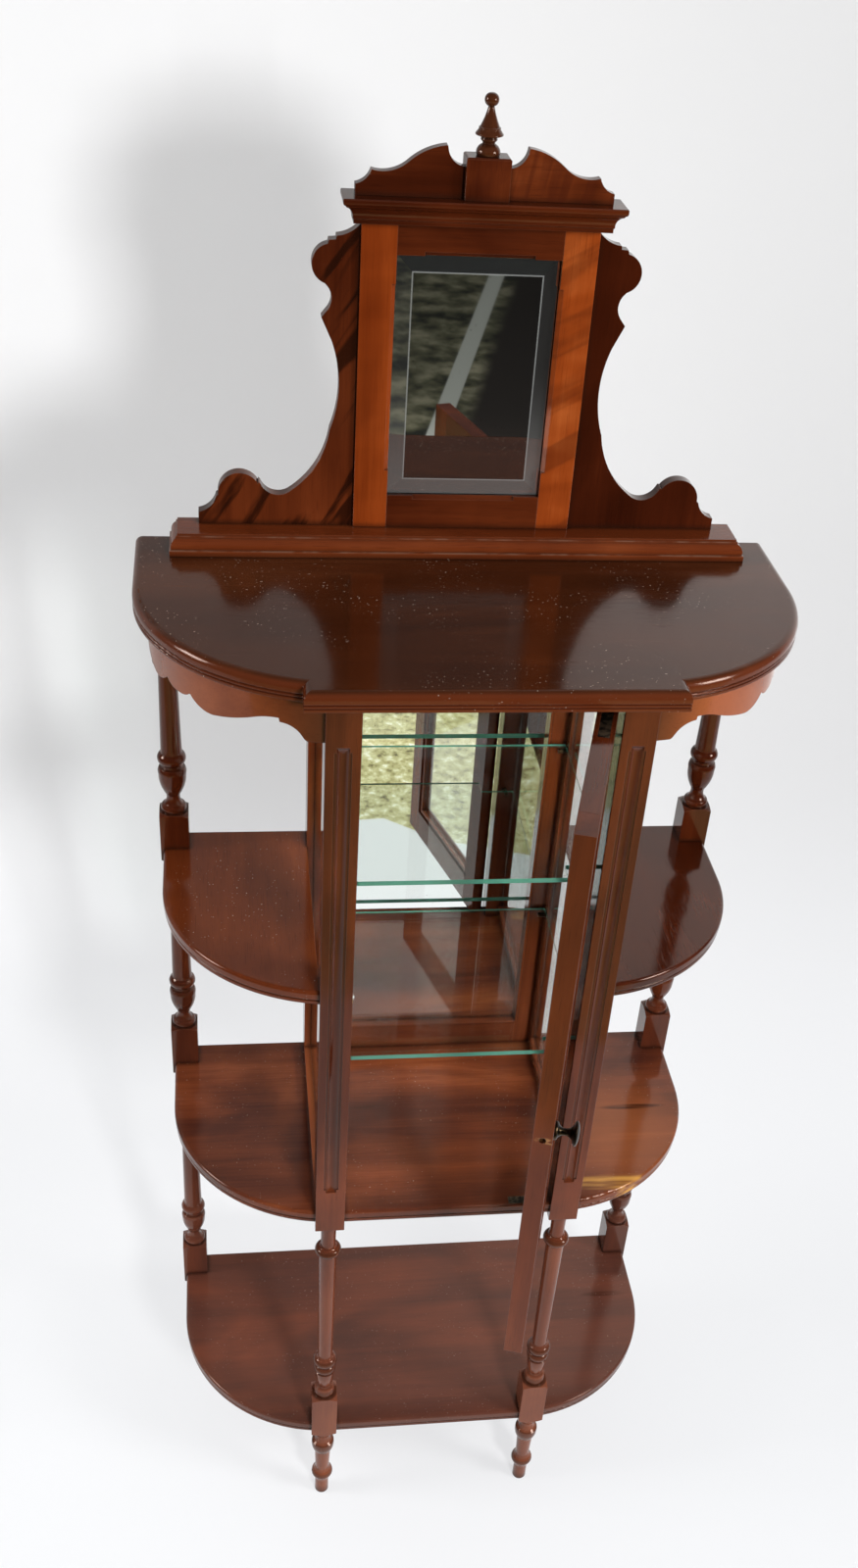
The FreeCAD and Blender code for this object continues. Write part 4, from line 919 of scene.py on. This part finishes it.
# %% The plan of the wood
wood_plan = {
    "top_board": dict(grain="across", tones=dark_mahogany, offset=0.3, lift=0.10, gloss=0.31,
                      satin=0.09, dust=0.7, marks=nose_tone),
    "bottom_shelf": dict(grain="across", offset=1.1, contrast=0.7, lift=-0.20, dust=0.5,
                         marks=bottom_board_marks),
    "cabinet_floor": dict(grain="across", offset=2.3, contrast=1.0, lift=-0.05, foot=0.05,
                          dust=0.5, marks=floor_board_marks),
    "wing_shelf_left": dict(grain="deep", offset=3.7, contrast=0.4, lift=0.09, dust=0.7),
    "wing_shelf_right": dict(grain="deep", offset=4.1, contrast=0.6, lift=-0.26),
    # The right wing shelf is made darker as a painted dark reflection.
    "front_post_left": dict(grain="upright", offset=5.2, contrast=0.6, lift=-0.14, foot=0.42,
                            gloss=0.36, satin=0.04, marks=leg_marks),
    "front_post_right": dict(grain="upright", offset=6.4, contrast=0.6, lift=-0.10, foot=0.40,
                             gloss=0.36, satin=0.04, marks=leg_marks),
    "back_post_left": dict(grain="upright", offset=7.6, contrast=0.5, lift=-0.20, satin=0.05),
    "back_post_right": dict(grain="upright", offset=8.8, contrast=0.5, lift=-0.20, satin=0.05),
    # The aprons are lifted paler as painted light from the lamps, the right one more.
    "apron_left": dict(grain="across", offset=9.1, contrast=0.5, lift=0.30, marks=apron_shade),
    "apron_right": dict(grain="across", offset=9.9, contrast=0.5, lift=0.44, marks=apron_shade),
    "side_stile_left": dict(grain="upright", offset=10.3, lift=-0.06),
    "side_stile_right": dict(grain="upright", offset=11.2),
    "side_rail_top_left": dict(grain="deep", offset=12.5),
    "side_rail_top_right": dict(grain="deep", offset=13.1),
    "side_rail_bottom_left": dict(grain="deep", offset=14.7),
    "side_rail_bottom_right": dict(grain="deep", offset=15.3),
    "head_rail": dict(grain="across", offset=16.1, lift=-0.1),
    "back_stile_left": dict(grain="upright", offset=17.7),
    "back_stile_right": dict(grain="upright", offset=18.2),
    "back_rail_top": dict(grain="across", offset=19.4),
    "back_rail_bottom": dict(grain="across", offset=20.6),
    "gallery_base": dict(grain="across", offset=21.3, contrast=0.5, lift=0.12, marks=base_dust),
    "gallery_stile_left": dict(grain="upright", tones=gold_mahogany, offset=22.4, figure=0.25,
                               contrast=1.1, lift=-0.12),
    "gallery_stile_right": dict(grain="upright", tones=gold_mahogany, offset=23.6, figure=0.8,
                                lift=0.15, marks=curled(turn=-58, width=0.024, share=0.42)),
    "gallery_rail_top": dict(grain="across", offset=24.2, lift=-0.14),
    "gallery_rail_bottom": dict(grain="across", offset=25.8, lift=-0.14),
    "gallery_wing_left": dict(grain="upright", offset=26.1, lift=-0.08, marks=flame_marks),
    "gallery_wing_right": dict(grain="upright", offset=27.4, contrast=0.5, lift=-0.27,
                               marks=frame_joint),
    "cornice": dict(grain="across", offset=28.9, lift=-0.18),
    "pediment_left": dict(grain="across", offset=29.5, lift=-0.20),
    "pediment_right": dict(grain="across", offset=30.7, figure=0.9, lift=0.06,
                           marks=curled(turn=-10, width=0.011, share=0.5)),
    "finial_block": dict(grain="upright", offset=31.3, figure=0.5, lift=-0.06,
                         marks=curled(turn=-52, width=0.030, share=0.8)),
    "finial": dict(grain="upright", tones=dark_mahogany, offset=32.6, lift=0.10, satin=0.05),
    "door_stile_hinge": dict(grain="upright", offset=33.1, contrast=0.5, lift=-0.12, foot=0.40,
                             gloss=0.30),
    "door_stile_lock": dict(grain="upright", offset=34.9, contrast=0.5, lift=-0.04, foot=0.44,
                            gloss=0.30, marks=lock_stile_marks),
    "door_rail_top": dict(grain="leaf", offset=35.2, lift=-0.12),
    "door_rail_bottom": dict(grain="leaf", offset=36.8, lift=-0.06),
    "door_bead": dict(grain="upright", offset=37.4),
}


def dress(names, material):
    for name in names:
        slots = node_objects[name].data.materials
        slots.clear()
        slots.append(material)


for name, plan in wood_plan.items():
    dress([name], mahogany("wood_" + name, **plan))
print("dressed in mahogany:", len(wood_plan))

# %% Dress glass, mirrors, metal and backs
dress(["glass_shelf_upper", "glass_shelf_lower"], glass("shelf_glass", face_axis="Z"))
dress(["side_glass_left", "side_glass_right", "door_glass"], glass("pane_glass", face_axis="X"))
dress(["back_mirror"], silvered("silvering"))
dress(["gallery_mirror"], silvered("bevelled_silvering", bevelled="gallery_mirror"))
dress(["backboard", "gallery_board"], plain_back("plain_back"))
dress(["knob", "shelf_pegs"],
      old_metal("dark_brass", bright=(0.13, 0.085, 0.045), dark=(0.020, 0.014, 0.010),
                roughness=0.28, tarnish=0.0))
dress(["catch_barrel"],
      old_metal("bright_brass", bright=(0.72, 0.52, 0.22), dark=(0.30, 0.19, 0.08),
                roughness=0.22, tarnish=0.2))
dress(["pivot_top_frame", "pivot_bottom_frame", "pivot_top_door", "pivot_bottom_door",
       "frame_pivot_screws", "door_pivot_screws"],
      old_metal("black_plate", bright=(0.12, 0.09, 0.06), dark=(0.018, 0.015, 0.012),
                roughness=0.5, tarnish=0.1))
dress(["catch_spring", "catch_ball"],
      old_metal("spring_steel", bright=(0.55, 0.55, 0.56), dark=(0.28, 0.27, 0.26),
                roughness=0.25, tarnish=0.2))
plain = [name for name in node_objects
         if node_objects[name].data.materials[0].name.startswith("of_")]
print("pieces without a finish of their own:", plain)

# %% [markdown]
# Each side pane is held from inside by a quarter-round bead that runs round the opening, mitred at
# the corners and pinned every hand's breadth. That is one rule for a path: sweep a small profile
# round a rectangle, and repeat a pin along it. So it is a Geometry Nodes tree with the opening's
# size, the bead's radius and the pins' size and spacing as inputs, used once for each side.

# %% The bead as a Geometry Nodes tree
bead_inputs = {"Depth": 0.2, "Height": 0.6, "Bead Radius": 0.005, "Spacing": 0.09,
               "Pin Radius": 0.0008}


def bead_tree(material):
    tree = bpy.data.node_groups.new("glazing_bead", "GeometryNodeTree")
    nodes, links, interface = tree.nodes, tree.links, tree.interface
    for name, value in bead_inputs.items():
        socket = interface.new_socket(name, in_out="INPUT", socket_type="NodeSocketFloat")
        socket.default_value = value
    interface.new_socket("Geometry", in_out="OUTPUT", socket_type="NodeSocketGeometry")

    def add(kind, settings, sockets):
        node = nodes.new(kind)
        for key, value in settings.items():
            setattr(node, key, value)
        for key, value in sockets.items():
            if isinstance(value, bpy.types.NodeSocket):
                links.new(value, node.inputs[key])
            else:
                node.inputs[key].default_value = value
        return node

    def scaled(vector, factor):
        return add("ShaderNodeVectorMath", {"operation": "SCALE"},
                   {0: vector.outputs[0], "Scale": factor})

    given = nodes.new("NodeGroupInput").outputs
    path = add("GeometryNodeCurvePrimitiveQuadrilateral", {"mode": "RECTANGLE"},
               {"Width": given["Depth"], "Height": given["Height"]})
    arc = add("GeometryNodeCurveArc", {"mode": "RADIUS"},
              {"Resolution": 7, "Radius": given["Bead Radius"], "Start Angle": 0.0,
               "Sweep Angle": math.pi / 2, "Connect Center": True})
    bead = add("GeometryNodeCurveToMesh", {},
               {"Curve": path.outputs[0], "Profile Curve": arc.outputs[0]})
    points = add("GeometryNodeResampleCurve", {"mode": "LENGTH"},
                 {"Curve": path.outputs[0], "Length": given["Spacing"]})
    head = add("GeometryNodeMeshIcoSphere", {},
               {"Radius": given["Pin Radius"], "Subdivisions": 2})
    # A pin stands on the middle of the quarter round: as far in from the path as it is above it.
    reach = add("ShaderNodeMath", {"operation": "MULTIPLY"},
                {0: given["Bead Radius"], 1: math.sqrt(0.5)})
    from_middle = add("GeometryNodeInputPosition", {}, {})
    outward = add("ShaderNodeVectorMath", {"operation": "NORMALIZE"}, {0: from_middle.outputs[0]})
    inward = scaled(scaled(outward, reach.outputs[0]), -1.0)
    lift = add("ShaderNodeCombineXYZ", {}, {"Z": reach.outputs[0]})
    offset = add("ShaderNodeVectorMath", {"operation": "ADD"},
                 {0: inward.outputs[0], 1: lift.outputs[0]})
    raised = add("GeometryNodeSetPosition", {},
                 {"Geometry": points.outputs[0], "Offset": offset.outputs[0]})
    pins = add("GeometryNodeInstanceOnPoints", {},
               {"Points": raised.outputs[0], "Instance": head.outputs[0]})
    both = nodes.new("GeometryNodeJoinGeometry")
    links.new(bead.outputs[0], both.inputs[0])
    links.new(pins.outputs[0], both.inputs[0])
    real = add("GeometryNodeRealizeInstances", {}, {"Geometry": both.outputs[0]})
    coated = add("GeometryNodeSetMaterial", {},
                 {"Geometry": real.outputs[0], "Material": material})
    out = nodes.new("NodeGroupOutput")
    links.new(coated.outputs[0], out.inputs[0])
    return tree


bead_maker = bead_tree(mahogany("wood_glazing_bead", grain="upright", offset=38.8, lift=0.02))
print("bead tree:", len(bead_maker.nodes), "nodes")

# %% Beads in the cabinet's sides
bead_radius = 3.4 * millimetre
bead_drop = 1.5 * millimetre


def grown(name, tree, values, placing):
    """Runs a tree and returns its result as a plain mesh object, put in its place."""
    seed_mesh = bpy.data.meshes.new(name + "_seed")
    carrier = bpy.data.objects.new(name + "_carrier", seed_mesh)
    bpy.context.scene.collection.objects.link(carrier)
    modifier = carrier.modifiers.new("tree", "NODES")
    modifier.node_group = tree
    for item in tree.interface.items_tree:
        if item.in_out == "INPUT" and item.name in values:
            modifier[item.identifier] = values[item.name]
    evaluated = carrier.evaluated_get(bpy.context.evaluated_depsgraph_get())
    mesh = bpy.data.meshes.new_from_object(evaluated)
    mesh.transform(placing)
    mesh.name = name
    bpy.data.objects.remove(carrier)
    obj = bpy.data.objects.new(name, mesh)
    bpy.context.scene.collection.objects.link(obj)
    return obj


def side_bead(side):
    """The bead round one side pane: side is -1 on the left and 1 on the right. Its lower run
    stands a little below the highest edge of the bottom rail."""
    word = "left" if side < 0 else "right"
    low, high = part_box("side_rail_bottom_" + word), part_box("side_rail_top_" + word)
    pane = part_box("side_glass_" + word)
    bottom, top = low[1][2] - bead_drop, high[0][2]
    inner_face = pane[1][0] if side < 0 else pane[0][0]
    middle = Vector((inner_face, (low[0][1] + low[1][1]) / 2, (bottom + top) / 2))
    # The rectangle's width runs along Y and its height along Z, and the bead faces inwards.
    axes = Matrix(((0, 0, -side), (1, 0, 0), (0, 1, 0))).to_4x4()
    sizes = {"Depth": low[1][1] - low[0][1], "Height": top - bottom, "Bead Radius": bead_radius}
    bead = grown("glazing_bead_" + word, bead_maker, sizes, Matrix.Translation(middle) @ axes)
    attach(bead, "case")
    return bead


for side in (-1, 1):
    made = side_bead(side)
    print(made.name, len(made.data.polygons), "faces")
